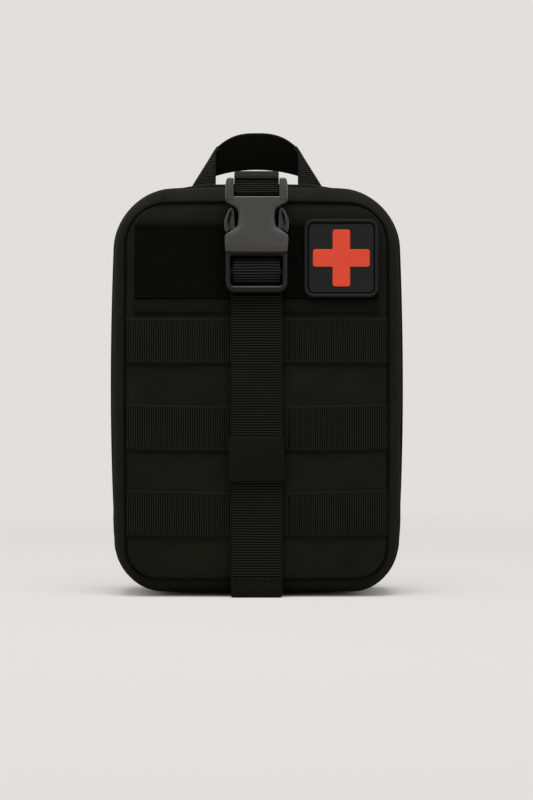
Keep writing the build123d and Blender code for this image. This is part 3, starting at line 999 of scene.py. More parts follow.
# --------------------------------------------------------------------------- small builders
def loft(name: str, finish: Finish, loops: Sequence[Sequence[Point]],
         flats: Sequence[Sequence[Flat]] | None = None,
         flip: bool = False, closed: bool = False) -> bpy.types.Object:
    """Join closed loops of points into one capped or ring-shaped skin.

    Args:
        name: The piece's name.
        finish: Its finish.
        loops: Loops with the same number of points each.
        flats: Map of each point; X and Z where it is left out.
        flip: Turn the faces over.
        closed: Join the last loop to the first in place of caps.

    Returns:
        The new piece.
    """
    skin = Skin()
    if flats is None:
        flats = [[(p[0], p[2]) for p in loop] for loop in loops]
    table = skin.grid(loops, flats, wrap=True, flip=flip)
    if closed:
        skin.sew([table[-1], table[0]], wrap=True, flip=flip)
    else:
        skin.cap(table, flip)
    return skin.build(name, finish)


def rounded(corners: Sequence[tuple[float, float, float]], per: int = 7) -> list[Flat]:
    """Round the corners of a polygon.

    Args:
        corners: X, Z and radius of each corner.
        per: Points on each rounded corner.

    Returns:
        The points of the rounded polygon.
    """
    spots: list[Flat] = []
    count = len(corners)
    for i, (x, z, radius) in enumerate(corners):
        here = Vector((x, z))
        back = Vector(corners[i - 1][:2]) - here
        forth = Vector(corners[(i + 1) % count][:2]) - here
        half = back.angle(forth) / 2
        reach = min(radius / math.tan(half), back.length * 0.49, forth.length * 0.49)
        start, end = here + back.normalized() * reach, here + forth.normalized() * reach
        for k in range(per):
            t = k / (per - 1)
            spot = start * (1 - t) ** 2 + here * (2 * t * (1 - t)) + end * t ** 2
            spots.append((spot.x, spot.y))
    return spots


def block(x0: float, x1: float, z0: float, z1: float, radius: float) -> list[Flat]:
    """Rectangle with rounded corners, from its lower left one."""
    return rounded([(x0, z0, radius), (x0, z1, radius), (x1, z1, radius), (x1, z0, radius)], 4)


def shrink(spots: Sequence[Flat], inset: float) -> list[Flat]:
    """Move every point of a closed outline inwards by one distance."""
    area = sum(a[0] * b[1] - b[0] * a[1] for a, b in zip(spots, list(spots[1:]) + [spots[0]]))
    turn = 1.0 if area > 0 else -1.0
    count = len(spots)
    moved: list[Flat] = []
    for i, (x, z) in enumerate(spots):
        way = Vector(spots[(i + 1) % count]) - Vector(spots[i - 1])
        if way.length < 1e-9:
            moved.append((x, z))
            continue
        way.normalize()
        moved.append((x - way.y * turn * inset, z + way.x * turn * inset))
    return moved


def plate(name: str, finish: Finish, outline: Sequence[Flat],
          steps: Sequence[tuple[float, float]]) -> bpy.types.Object:
    """Build a solid plate from insets of one outline at different depths.

    Args:
        name: The piece's name.
        finish: Its finish.
        outline: The outline in X and Z, clockwise seen from the front.
        steps: Inset and y of each loop, from the back to the front's middle.

    Returns:
        The new piece.
    """
    loops = [[(x, y, z) for x, z in shrink(outline, inset)] for inset, y in steps]
    return loft(name, finish, loops)


def frame_ring(name: str, finish: Finish, outer: Sequence[Flat], inner: Sequence[Flat], front: float,
               back: float,
               round_by: float) -> bpy.types.Object:
    """Build a ring-shaped plate with rounded rims between two outlines.

    Args:
        name: The piece's name.
        finish: Its finish.
        outer: The outer outline.
        inner: The inner outline, with as many points.
        front: Its front's y.
        back: Its back's y.
        round_by: Radius of its rims.

    Returns:
        The new piece.
    """
    loops: list[list[Point]] = []
    for line, sign in ((outer, 1.0), (inner, -1.0)):
        part = [[(x, y, z) for x, z in shrink(line, sign * inset)] for inset, y in
                ((0.0, back), (0.0, front + round_by), (round_by * 0.3, front + round_by * 0.3),
                 (round_by, front))]
        loops.extend(part if sign > 0 else part[::-1])
    return loft(name, finish, loops, closed=True)


def milestones(spots: Sequence[Vector]) -> list[float]:
    """Distance travelled at each point of a path."""
    marks = [0.0]
    for a, b in zip(spots, spots[1:]):
        marks.append(marks[-1] + (b - a).length)
    return marks


@dataclass
class Threads:
    """Rows of short sewn stitches gathered in one mesh."""

    name: str
    pitch: float = 3.0 * MM
    length: float = 2.1 * MM
    radius: float = 0.2 * MM
    skin: Skin = field(default_factory=Skin)

    def line(self, path: Sequence[Point], out: Point = FRONTWARD, lift: float = 0.02 * MM) -> None:
        """Sew along a path.

        Args:
            path: Points along the seam.
            out: Which way the cloth faces.
            lift: How far the thread's middle stands off the path.
        """
        up = Vector(out).normalized()
        spots = [Vector(p) for p in path]
        marks = milestones(spots)
        count = int(marks[-1] / self.pitch)
        for k in range(count):
            middle = (k + 0.5) * marks[-1] / count
            ends = [self.at(spots, marks, middle + s * self.length / 2) for s in (-1, 1)]
            self.stitch(ends[0], ends[1], up, lift)

    @staticmethod
    def at(spots: Sequence[Vector], marks: Sequence[float], want: float) -> Vector:
        """Point at a distance along a path."""
        for i in range(1, len(marks)):
            if marks[i] >= want:
                span = max(marks[i] - marks[i - 1], 1e-9)
                return spots[i - 1].lerp(spots[i], (want - marks[i - 1]) / span)
        return spots[-1].copy()

    def stitch(self, start: Vector, end: Vector, up: Vector, lift: float) -> None:
        """Add one stitch as a small spindle."""
        way = (end - start).normalized()
        side = way.cross(up)
        rows: list[list[Point]] = []
        for t, thick, rise in STITCH:
            middle = start.lerp(end, t) + up * (lift + rise * self.radius * 0.5)
            rows.append([tuple(middle + (side * math.cos(a) + up * math.sin(a)) * self.radius * thick)
                         for a in (k * math.pi / 3 for k in range(6))])
        table = self.skin.grid(rows, [[(0.0, 0.0)] * 6 for _ in rows], wrap=True)
        self.skin.cap(table)

    def build(self, body: Body, slot: str) -> bpy.types.Object:
        """Turn the stitches into a piece on a body."""
        return dress(self.skin.build(self.name, THREAD), body, slot)


def quilt(name: str, finish: Finish, edges: Edges, front: Callable[[float, float], float],
          back: Callable[[float, float], float], step: float, sag: float = 0.0) -> bpy.types.Object:
    """Build a closed sheet between two uneven faces.

    Args:
        name: The piece's name.
        finish: Its finish.
        edges: The box whose width and height it fills.
        front: Depth of its front at a place.
        back: Depth of its back at a place.
        step: Distance between its points.
        sag: How far its middle hangs below its ends.

    Returns:
        The new piece.
    """
    nx, nz = max(4, round(edges.size.x / step)), max(4, round(edges.size.z / step))
    loops: list[list[Point]] = []
    flats: list[list[Flat]] = []
    cuts = [0.0, 0.2 / nz] + [k / nz for k in range(1, nz)] + [1 - 0.2 / nz, 1.0]
    ends = [0.0, 0.2 / nx] + [k / nx for k in range(1, nx)] + [1 - 0.2 / nx, 1.0]
    for share in ends:
        x = lerp(edges.low.x, edges.high.x, share)
        hang = sag * (1 - (2 * share - 1) ** 2)
        spots: list[tuple[float, float]] = []
        for cut in cuts:
            z = lerp(edges.low.z, edges.high.z, cut)
            rim = 0.45 if cut in (0.0, 1.0) or share in (0.0, 1.0) else 1.0
            spots.append((lerp(back(x, z), front(x, z), rim), z))
        for cut in (1.0, 0.75, 0.5, 0.25, 0.0):
            z = lerp(edges.low.z, edges.high.z, cut)
            spots.append((back(x, z), z))
        loops.append([(x, y, z - hang) for y, z in spots])
        flats.append([(x, z - edges.mid.z) for _, z in spots])
    return loft(name, finish, loops, flats)


# --------------------------------------------------------------------------- the front
@dataclass
class FrontFace:
    """Loop field, its hem and the attachment rows, sewn on the padded front."""

    form: Form
    step: float = 1.6 * MM

    def lay(self, name: str, finish: Finish, edges: Edges, thick: Callable[[float, float], float],
            sag: float = 0.0) -> bpy.types.Object:
        """Build a closed sheet that follows the front.

        Args:
            name: The piece's name.
            finish: Its finish.
            edges: The box of the node it stands for.
            thick: Height of its face above the cloth, from the places across and up as shares.
            sag: How far its middle hangs below its ends.

        Returns:
            The new piece.
        """
        def rise(x: float, z: float) -> float:
            """Depth of the sheet's face at a place."""
            share = (x - edges.low.x) / edges.size.x
            cut = (z - edges.low.z) / edges.size.z
            return self.form.face(x, z, thick(share, cut))

        return quilt(name, finish, edges, rise, lambda x, z: self.form.face(x, z, -0.15 * MM),
                     self.step, sag)

    def build(self) -> None:
        """Make the field, the hem, the rows and their stitches."""
        threads = Threads("cover_stitches")
        field_box = Edges.of("loop_field")
        fuzz = self.lay("field_pile", PILE, field_box,
                        lambda s, t: 1.15 * MM + 0.12 * MM * noise.noise(Vector((s * 60, t * 20, 3.0))))
        dress(fuzz, Body.COVER, "loop_pile", "loop_field")
        hem = Edges.of("field_hem")
        dress(self.lay("field_hem_band", HEM, hem, lambda s,
                       t: 0.75 * MM + 0.25 * MM * math.sin(math.pi * t)),
              Body.COVER, "case_fabric", "field_hem")
        for share in (0.14, 0.9):
            self.sew(threads, hem, lerp(hem.low.z, hem.high.z, share), 0.95 * MM)
        self.sew(threads, field_box, field_box.high.z + 1.6 * MM, 0.05 * MM)
        self.sew(threads, field_box, field_box.high.z - 1.3 * MM, 1.2 * MM)
        self.sew(threads, field_box, field_box.low.z + 1.3 * MM, 1.2 * MM)
        for number, sag in ((1, 0.0), (2, 1.1), (3, 1.2)):
            self.row(threads, number, sag * MM)
        threads.build(Body.COVER, "case_fabric")

    def sew(self, threads: Threads, box: Edges, z: float, lift: float, sag: float = 0.0) -> None:
        """Sew a level seam across a piece of the front."""
        marks = [lerp(box.low.x + 1.2 * MM, box.high.x - 1.2 * MM, k / 24) for k in range(25)]
        span = box.size.x / 2
        threads.line([(x, self.form.face(x, z, lift), z - sag * (1 - (x / span) ** 2)) for x in marks])

    def row(self, threads: Threads, number: int, sag: float) -> None:
        """Make one attachment row, tacked down beside the strap and at both ends.

        Args:
            threads: The stitches to add its tacks to.
            number: Its number from the top.
            sag: How far its middle hangs.
        """
        packed = Edges.of(f"molle_row_{number}")
        grow = Vector((1.4 * MM, 0.0, 0.55 * MM))
        box = Edges(packed.low - grow, packed.high + grow)

        def rise(share: float, cut: float) -> float:
            """Height of the webbing above the cloth."""
            x = lerp(box.low.x, box.high.x, share)
            near = min([abs(x - tack) for tack in TACKS[1:3]] + [box.high.x - abs(x)])
            lane = 1 - ease(near / (9 * MM))
            swell = 0.10 * MM * noise.noise(Vector((x * 60, number * 7.3, cut * 1.5)))
            beside = ease((abs(x) - 15 * MM) / (4 * MM))
            return lerp(0.8 * MM, 1.25 * MM - lane * 0.4 * MM, beside) + swell * beside

        web = self.lay(f"row_webbing_{number}", ROW_WEB, box, rise, sag)
        dress(web, Body.COVER, "webbing", f"molle_row_{number}")
        for tack in TACKS[1:3]:
            for side in (-0.35 * MM, 0.35 * MM):
                hang = sag * (1 - (tack / box.high.x) ** 2)
                lift = 0.9 * MM
                zs = [lerp(box.low.z + 1.5 * MM, box.high.z - 1.5 * MM, k / 8) - hang for k in range(9)]
                threads.line([(tack + side, self.form.face(tack, z, lift), z) for z in zs])


@dataclass
class Patch:
    """Moulded rubber patch with a raised rim and a plus, peeled off the loop field."""

    rim: float = 1.9 * MM
    groove: float = 0.8 * MM
    corner: float = 5.2 * MM
    arm: float = 5.0 * MM
    # The arms of the plus end in rounded corners, never in sharp ones.
    arm_round: float = 1.6 * MM

    def build(self) -> None:
        """Make the rubber square and the plus on it."""
        base = Edges.of("patch_base", "patch_rim", "patch_hook")
        mid = base.mid
        half_w, half_h = base.size.x / 2, base.size.z / 2
        front, back = base.low.y, Edges.of("patch_base").high.y
        line = [(mid.x + x, z) for x, z in Outline(half_w, half_h, self.corner, mid.z, per_side=3,
                                                   per_corner=9).spots()]
        r, g = self.rim, self.groove
        steps = [(0.5 * MM, back), (0.12 * MM, back - 0.3 * MM), (0.0, back - 0.9 * MM),
                 (0.0, front + 0.75 * MM),
                 (0.12 * MM, front + 0.35 * MM), (0.45 * MM, front + 0.08 * MM), (r * 0.5, front),
                 (r - 0.3 * MM, front + 0.08 * MM),
                 (r, front + 0.4 * MM), (r + 0.05 * MM, front + 1.1 * MM),
                 (r + g * 0.4, front + 1.25 * MM),
                 (r + g * 0.8, front + 1.1 * MM), (r + g, front + 0.75 * MM),
                 (r + g + 0.3 * MM, front + 0.62 * MM)]
        rubber = plate("patch_rubber_square", PATCH_RUBBER, line, steps)
        add_modifier(rubber, "WEIGHTED_NORMAL", keep_sharp=True)
        dress(rubber, Body.PATCH, "patch_rubber", "patch_base", "patch_rim")
        ring = frame_ring("patch_rim_bead", PATCH_RIM, line, shrink(line, r - 0.15 * MM),
                          front - 0.06 * MM, front + 1.3 * MM, 0.45 * MM)
        dress(ring, Body.PATCH, "patch_rubber")
        # A near-black bed at the bottom of the groove between rim and plus: painted shade in the recess.
        bed = frame_ring("patch_groove_shade_bed", PATCH_GROOVE_SHADE, shrink(line, r - 0.3 * MM),
                         shrink(line, r + g), front + 0.8 * MM, front + 1.4 * MM, 0.1 * MM)
        dress(bed, Body.PATCH, "patch_rubber")
        plus = Edges.of("patch_plus")
        arm, half = self.arm, plus.size.x / 2
        turns: list[tuple[float, float, float]] = []
        for quarter in range(4):
            a = -math.pi / 2 * quarter
            for px, pz, radius in ((-arm, half, self.arm_round), (arm, half, self.arm_round),
                                   (arm, arm, 0.25 * MM)):
                turns.append((plus.mid.x + px * math.cos(a) - pz * math.sin(a),
                              plus.mid.z + px * math.sin(a) + pz * math.cos(a), radius))
        shape = rounded(turns, 5)
        cross = plate("patch_plus_face", PLUS_RUBBER, shape,
                      [(0.0, front + 0.8 * MM), (0.0, plus.low.y + 0.25 * MM),
                       (0.12 * MM, plus.low.y + 0.06 * MM),
                       (0.35 * MM, plus.low.y)])
        add_modifier(cross, "WEIGHTED_NORMAL", keep_sharp=True)
        dress(cross, Body.PATCH, "plus_rubber", "patch_plus")


# --------------------------------------------------------------------------- webbing
def route(corners: Sequence[tuple[Point, float]], step: float = 0.9 * MM) -> list[Vector]:
    """Walk along straight legs with rounded corners in even steps.

    Args:
        corners: Each corner's place and the length of its rounding.
        step: Distance between the points.

    Returns:
        Evenly spaced points.
    """
    dense: list[Vector] = [Vector(corners[0][0])]
    for (before, _), (here, radius), (after, _) in zip(corners, corners[1:], corners[2:]):
        a, b, c = Vector(before), Vector(here), Vector(after)
        reach = min(radius, (a - b).length * 0.49, (c - b).length * 0.49)
        start, end = b + (a - b).normalized() * reach, b + (c - b).normalized() * reach
        dense.extend(start * (1 - t) ** 2 + b * (2 * t * (1 - t)) + end * t ** 2
                     for t in (k / 8 for k in range(9)))
    dense.append(Vector(corners[-1][0]))
    marks = milestones(dense)
    count = max(2, round(marks[-1] / step))
    return [Threads.at(dense, marks, marks[-1] * k / count) for k in range(count + 1)]


CUT = ((-1.0, -0.2), (-1.0, 0.2), (-0.965, 0.46), (-0.9, 0.5), (-0.5, 0.5), (0.0, 0.5), (0.5, 0.5),
       (0.9, 0.5),
       (0.965, 0.46), (1.0, 0.2), (1.0, -0.2), (0.965, -0.46), (0.9, -0.5), (0.3, -0.5), (-0.3, -0.5),
       (-0.9, -0.5),
       (-0.965, -0.46))


def ribbon(name: str, finish: Finish, path: Sequence[Vector], across: Point,
           half: "float | Callable[[float], float]",
           thick: float, closed: bool = False) -> bpy.types.Object:
    """Build a flat strip with soft edges along a path.

    Args:
        name: The piece's name.
        finish: Its finish.
        path: Evenly spaced points of its middle.
        across: Unit direction of its width.
        half: Half its width, or that as a function of the share along.
        thick: Its thickness.
        closed: Join its end to its start.

    Returns:
        The new piece.
    """
    side = Vector(across)
    loops: list[list[Point]] = []
    flats: list[list[Flat]] = []
    travelled, count = 0.0, len(path)
    for i, spot in enumerate(path):
        before = path[(i - 1) % count] if closed else path[max(0, i - 1)]
        after = path[(i + 1) % count] if closed else path[min(count - 1, i + 1)]
        out = (after - before).normalized().cross(side)
        travelled += (spot - path[i - 1]).length if i else 0.0
        wide = half(i / (count - 1)) if callable(half) else half
        loops.append([tuple(spot + side * s * wide + out * h * thick) for s, h in CUT])
        flats.append([(travelled, s * wide) for s, h in CUT])
    return loft(name, finish, loops, flats, closed=closed)


@dataclass
class OverStrap:
    """Strap from under the pouch up its front, with its tail, keeper and upper run."""

    thick: float = 1.5 * MM
    side: Point = RIGHTWARD

    def build(self) -> None:
        """Make every run of webbing and the elastic keeper."""
        front, low = Edges.of("front_strap"), Edges.of("strap_bottom")
        y, half = front.mid.y, front.size.x / 2
        path = route([((0, low.high.y, low.mid.z), 0), ((0, y, low.mid.z), 4.5 * MM),
                      ((0, y, front.high.z), 0)])
        run = ribbon("strap_webbing", STRAP_WEB, path, self.side, half, self.thick)
        dress(run, None, "webbing", "front_strap", "strap_bottom")
        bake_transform(run)
        tail = Edges.of("strap_tail")
        path = route([((0, tail.mid.y, tail.low.z), 0), ((0, tail.mid.y, tail.high.z), 0)])
        dress(ribbon("strap_tail_webbing", STRAP_WEB, path, self.side, half, self.thick), Body.STRAP,
              "webbing", "strap_tail")
        self.turn()
        self.upper()
        self.keeper()
        end = rounded([(-half - 0.1 * MM, 11.5 * MM, 0.5 * MM), (half + 0.1 * MM, 11.5 * MM, 0.5 * MM),
                       (half + 0.1 * MM, 1.6 * MM, 0.3 * MM),
                       (half - 1.5 * MM, 0.2 * MM, 0.3 * MM), (-half + 1.5 * MM, 0.2 * MM, 0.3 * MM),
                       (-half - 0.1 * MM, 1.6 * MM, 0.3 * MM)], 4)
        hem = plate("strap_end_fold", BINDING, end,
                    [(0.3 * MM, front.low.y + 1 * MM), (0.0, front.low.y + 0.6 * MM),
                     (0.0, front.low.y - 0.2 * MM),
                                                     (0.15 * MM, front.low.y - 0.4 * MM),
                     (0.4 * MM, front.low.y - 0.45 * MM)])
        dress(hem, Body.STRAP, "webbing")
        threads = Threads("strap_stitches")
        for z in (9.2 * MM, 10.4 * MM):
            threads.line([(lerp(-half + 1.5 * MM, half - 1.5 * MM, k / 6), front.low.y - 0.45 * MM, z)
                          for k in range(7)])
        threads.build(Body.STRAP, "webbing")

    def turn(self) -> None:
        """Make the webbing that runs round the plug's bar."""
        turn = Edges.of("strap_turn")
        y0, y1 = turn.low.y + self.thick * 0.55, turn.high.y - self.thick * 0.6
        z0, z1 = turn.low.z + 0.4 * MM, turn.high.z - 0.4 * MM
        path = route([((0, y1, z0), 0), ((0, lerp(y0, y1, 0.45), z0 + 0.6 * MM), 2 * MM),
                      ((0, y0, lerp(z0, z1, 0.5)), 7 * MM),
                      ((0, y0 + 1.6 * MM, lerp(z0, z1, 0.86)), 3 * MM),
                      ((0, y1, z1), 0)], 0.5 * MM)
        # The turn takes a lighter copy of the strap webbing: painted light.
        dress(ribbon("strap_turn_webbing", TURN_WEB_LIT, path, self.side, turn.size.x / 2,
                     self.thick * 0.9),
              Body.STRAP, "webbing", "strap_turn")

    def upper(self) -> None:
        """Make the run from the socket's bar back over the top of the pouch."""
        upper = Edges.of("strap_upper")
        top, back = upper.high.z, upper.high.y
        front = upper.low.y + self.thick * 0.5
        path = route([((0, back, top - 0.8 * MM), 0), ((0, back - 9 * MM, top - 0.3 * MM), 6 * MM),
                      ((0, lerp(back, front, 0.45), top + 3.1 * MM), 14 * MM),
                      ((0, front + 6 * MM, top + 2.9 * MM), 6 * MM),
                      ((0, front, top - 0.5 * MM), 3.5 * MM),
                      ((0, front + 1.2 * MM, upper.low.z - 1.0 * MM), 2 * MM),
                      ((0, front + 4.6 * MM, upper.low.z - 1.0 * MM), 2 * MM),
                      ((0, front + 4.9 * MM, top - 2.2 * MM), 3 * MM),
                      ((0, front + 12 * MM, top - 0.8 * MM), 0)], 0.6 * MM)
        # The upper run and its fold take lighter copies of the strap webbing: painted light.
        run = ribbon("upper_webbing", UPPER_WEB_LIT, path, LEFTWARD, upper.size.x / 2 + 0.15 * MM,
                     self.thick)
        dress(run, Body.STRAP, "webbing", "strap_upper")
        rise = self.thick * 0.5 + 0.3 * MM
        path = route([((0, front - rise, top - 0.9 * MM), 0),
                      ((0, front - rise + 0.3 * MM, top + 0.6 * MM), 1.5 * MM),
                      ((0, front + 6 * MM, top + 2.9 * MM + rise), 5 * MM),
                      ((0, lerp(back, front, 0.5), top + 3.2 * MM + rise), 0)], 0.6 * MM)
        face = ribbon("upper_webbing_fold", UPPER_FACE_LIT, path, self.side, upper.size.x / 2, 0.6 * MM)
        dress(face, Body.STRAP, "webbing")

    def keeper(self) -> None:
        """Make the elastic band that holds the tail."""
        box = Edges.of("strap_keeper")
        w, y0, y1 = box.size.x / 2 - 0.4 * MM, box.low.y + 0.4 * MM, box.high.y - 0.7 * MM
        ends = [((0, y0, box.mid.z), 0), ((w, y0, box.mid.z), 1.3 * MM), ((w, y1, box.mid.z), 1.3 * MM),
                ((-w, y1, box.mid.z), 1.3 * MM), ((-w, y0, box.mid.z), 1.3 * MM),
                ((-0.7 * MM, y0, box.mid.z), 0)]
        band = ribbon("keeper_band", KEEPER_ELASTIC, route(ends, 0.7 * MM), DOWNWARD, box.size.z / 2,
                      0.8 * MM, True)
        dress(band, Body.KEEPER, "elastic", "strap_keeper")


# --------------------------------------------------------------------------- the buckle
@dataclass
class Buckle:
    """Side-release buckle: socket, plug and the two sprung prongs."""

    def build(self) -> None:
        """Make the socket, the plug and the prongs."""
        self.socket()
        self.plug()
        for body, side in ((Body.PRONG_LEFT, -1), (Body.PRONG_RIGHT, 1)):
            self.prong(body, side)

    def steps(self, front: float, back: float, rim: float) -> list[tuple[float, float]]:
        """Insets and depths of a plate with rounded front and back rims."""
        return [(rim, back), (rim * 0.3, back - rim * 0.3), (0.0, back - rim), (0.0, front + rim),
                (rim * 0.12, front + rim * 0.5), (rim * 0.45, front + rim * 0.15), (rim, front)]

    def socket(self) -> None:
        """Make the socket: lower block, concave waist and the forked top."""
        box = Edges.of("buckle_socket")
        web = Edges.of("strap_upper").size.x / 2 + 0.4 * MM
        z, y0, y1 = box.low.z, box.low.y, box.high.y
        half = box.size.x / 2
        top, floor = box.high.z + 1.0 * MM, box.high.z - 11.2 * MM
        right = [(half - 0.4 * MM, z, 0.8 * MM), (half, z + 7 * MM, 6 * MM),
                 (half - 0.2 * MM, z + 9.8 * MM, 1.6 * MM),
                 (half * 0.60, z + 14.2 * MM, 3.5 * MM), (half * 0.565, z + 20 * MM, 5 * MM),
                 (half * 0.60, z + 24.6 * MM, 3.5 * MM),
                 (half * 0.98, z + 28.8 * MM, 3.6 * MM), (half * 0.985, floor + 1.5 * MM, 1 * MM)]
        mirror = [(-x, height, radius) for x, height, radius in reversed(right)]
        spots = [spot for spot in rounded(right + mirror, 12) if spot[0] > 0]
        loops: list[list[Point]] = []
        flats: list[list[Flat]] = []
        shares = (-1.0, -0.985, -0.94, -0.85, -0.6, -0.3, 0.0, 0.3, 0.6, 0.85, 0.94, 0.985, 1.0)
        for k in range(61):
            share = k / 60
            height = lerp(z, floor + 1.4 * MM, share)
            wide = self.width(spots, height)
            end = min(share, 1 - share) * 60
            rim = 0.5 * MM * max(0.0, 1 - end) if k < 2 else 0.0
            step = 0.45 * MM * (1 - ease((height - z - 1.9 * MM) / (0.5 * MM)))
            lean = 0.55 * MM * ease((height - z - 9 * MM) / (22 * MM))
            lean += (0.9 * MM * max(0.0, 1 - (height - z) / (10 * MM)) ** 2
                     + 0.7 * MM * max(0.0, (height - z - 27 * MM) / (10 * MM)) ** 2)
            front = [(wide * s,
                      y0 + rim + step + lean + 0.35 * MM * s * s
                      + 1.15 * MM * max(0.0, abs(s) - 0.8) ** 2 * 25 * 0.9,
                      height) for s in shares]
            back = [(wide * s, y1 - rim - 0.8 * MM * max(0.0, abs(s) - 0.8) ** 2 * 25, height)
                    for s in reversed(shares)]
            loops.append(front + back)
            flats.append([(p[0], p[2]) for p in front + back])
        shell = loft("socket_shell", BUCKLE, loops, flats)
        dress(shell, Body.STRAP, "buckle_plastic", "buckle_socket")
        for name, side in (("left", -1), ("right", 1)):
            arm = [(side * web, floor - 0.6 * MM, 1.0 * MM),
                   (side * half * 0.985, floor - 0.6 * MM, 0.8 * MM),
                   (side * half * 0.985, lerp(floor, top, 0.6), 6 * MM),
                   (side * half * 0.94, top, 3.0 * MM), (side * web, top - 0.2 * MM, 1.0 * MM)]
            piece = plate(f"socket_arm_{name}", BUCKLE, rounded(arm, 8),
                          self.steps(y0 + 0.5 * MM, y1, 0.9 * MM))
            dress(piece, Body.STRAP, "buckle_plastic")
        bar_z = floor + 5.2 * MM
        shape = block(-web - 1 * MM, web + 1 * MM, bar_z - 1.9 * MM, bar_z + 1.9 * MM, 0.6 * MM)
        bar = plate("socket_bar", BUCKLE, shape,
                    self.steps(box.mid.y - 1.5 * MM, box.mid.y + 1.5 * MM, 0.5 * MM))
        dress(bar, Body.STRAP, "buckle_plastic")

    @staticmethod
    def width(spots: Sequence[Flat], height: float) -> float:
        """Half width of a symmetric outline at a height."""
        best = 0.0
        for (x0, z0), (x1, z1) in zip(spots, spots[1:]):
            low, high = min(z0, z1), max(z0, z1)
            if low - 1e-6 <= height <= high + 1e-6 and high - low > 1e-9:
                best = max(best, lerp(x0, x1, (height - z0) / (z1 - z0)))
        return best or spots[0][0]

    def plug(self) -> None:
        """Make the plug's frame, its ladder bar and the part inside the socket."""
        box, mouth = Edges.of("buckle_plug"), Edges.of("buckle_socket").low.z
        half, front, back = box.size.x / 2, box.low.y, box.high.y
        low, high = box.low.z, mouth - 0.15 * MM
        outer = rounded([(-half, high, 0.8 * MM), (half, high, 0.8 * MM), (half, low, 6.2 * MM),
                         (-half, low, 6.2 * MM)], 10)
        rail, bar = 2.6 * MM, 3.6 * MM
        inner = rounded([(-half + rail, high - 2.0 * MM, 1.0 * MM),
                         (half - rail, high - 2.0 * MM, 1.0 * MM),
                         (half - rail - 0.2 * MM, low + bar, 2.2 * MM),
                         (-half + rail + 0.2 * MM, low + bar, 2.2 * MM)], 10)
        ring = frame_ring("plug_frame", PLUG, outer, inner, front, back, 1.1 * MM)
        dress(ring, Body.STRAP, "buckle_plastic", "buckle_plug")
        ladder = Edges.of("strap_turn")
        rod = [Vector((x, ladder.mid.y + 0.4 * MM, lerp(ladder.low.z, ladder.high.z, 0.45)))
               for x in (k * half * 0.1 for k in range(-9, 10))]
        dress(ribbon("plug_ladder_bar", PLUG, rod, UPWARD, 1.3 * MM, 2.0 * MM), Body.STRAP,
              "buckle_plastic")
        y0, y1 = Edges.of("prong_left").low.y, Edges.of("prong_left").high.y
        root = block(-half * 0.85, half * 0.85, high - 1 * MM, mouth + 2.4 * MM, 0.5 * MM)
        dress(plate("plug_root", BUCKLE, root, self.steps(y0, y1, 0.3 * MM)), Body.STRAP,
              "buckle_plastic")

    def prong(self, body: Body, side: int) -> None:
        """Make one prong: its arm, the rim that is pressed and the lens inside it.

        Args:
            body: The prong's body.
            side: -1 for the left one and +1 for the right one.
        """
        box = Edges.of(body.value)
        z0, z1 = Edges.of("buckle_socket").low.z + 11.0 * MM, box.high.z
        front, back = (Edges.of("buckle_socket").low.y + 0.9 * MM,
                       Edges.of("buckle_socket").high.y - 0.9 * MM)
        name = body.value

        def shape(spots: Sequence[tuple[float, float, float]]) -> list[Flat]:
            """Round a polygon on this prong's side; X and radius are in millimetres."""
            return rounded([(side * x * MM, z, r * MM) for x, z, r in spots], 6)

        arm = shape([(11.6, box.low.z, 0.4), (14.4, box.low.z, 0.4), (14.4, z0 + 1 * MM, 0.6),
                     (16.2, z0 + 1.6 * MM, 0.8),
                     (16.4, lerp(z0, z1, 0.55), 3), (14.2, z1 - 0.4 * MM, 1.2),
                     (12.9, z1 - 0.6 * MM, 0.6), (12.2, z0 + 1 * MM, 1.5)])
        dress(plate(f"{name}_arm", BUCKLE, arm,
                    self.steps(front + 1.9 * MM, back - 1.2 * MM, 0.3 * MM)),
              body, "buckle_plastic", name)
        # The rim and the lens take the darker copy of the buckle plastic: painted shade.
        rim = shape([(17.2, z0 - 0.4 * MM, 0.8), (18.3, lerp(z0, z1, 0.16), 2),
                     (18.2, lerp(z0, z1, 0.55), 6),
                     (16.3, lerp(z0, z1, 0.88), 3), (14.2, z1 + 0.5 * MM, 0.9),
                     (13.4, z1 - 0.3 * MM, 0.6),
                     (14.9, lerp(z0, z1, 0.8), 2), (15.9, lerp(z0, z1, 0.5), 4),
                     (15.5, lerp(z0, z1, 0.1), 1.2)])
        dress(plate(f"{name}_rim", PRONG, rim, self.steps(front, back, 0.5 * MM)), body,
              "buckle_plastic")
        lens = shape([(14.9, z0 + 1.0 * MM, 0.8), (15.35, lerp(z0, z1, 0.4), 2),
                      (14.9, lerp(z0, z1, 0.66), 2.5),
                      (14.3, z1 - 2.4 * MM, 0.6), (13.7, z1 - 3.2 * MM, 0.5),
                      (13.3, lerp(z0, z1, 0.45), 2), (13.5, z0 + 2.4 * MM, 0.8)])
        dress(plate(f"{name}_lens", PRONG, lens,
                    self.steps(front + 0.7 * MM, back - 0.6 * MM, 0.4 * MM)),
              body, "buckle_plastic")


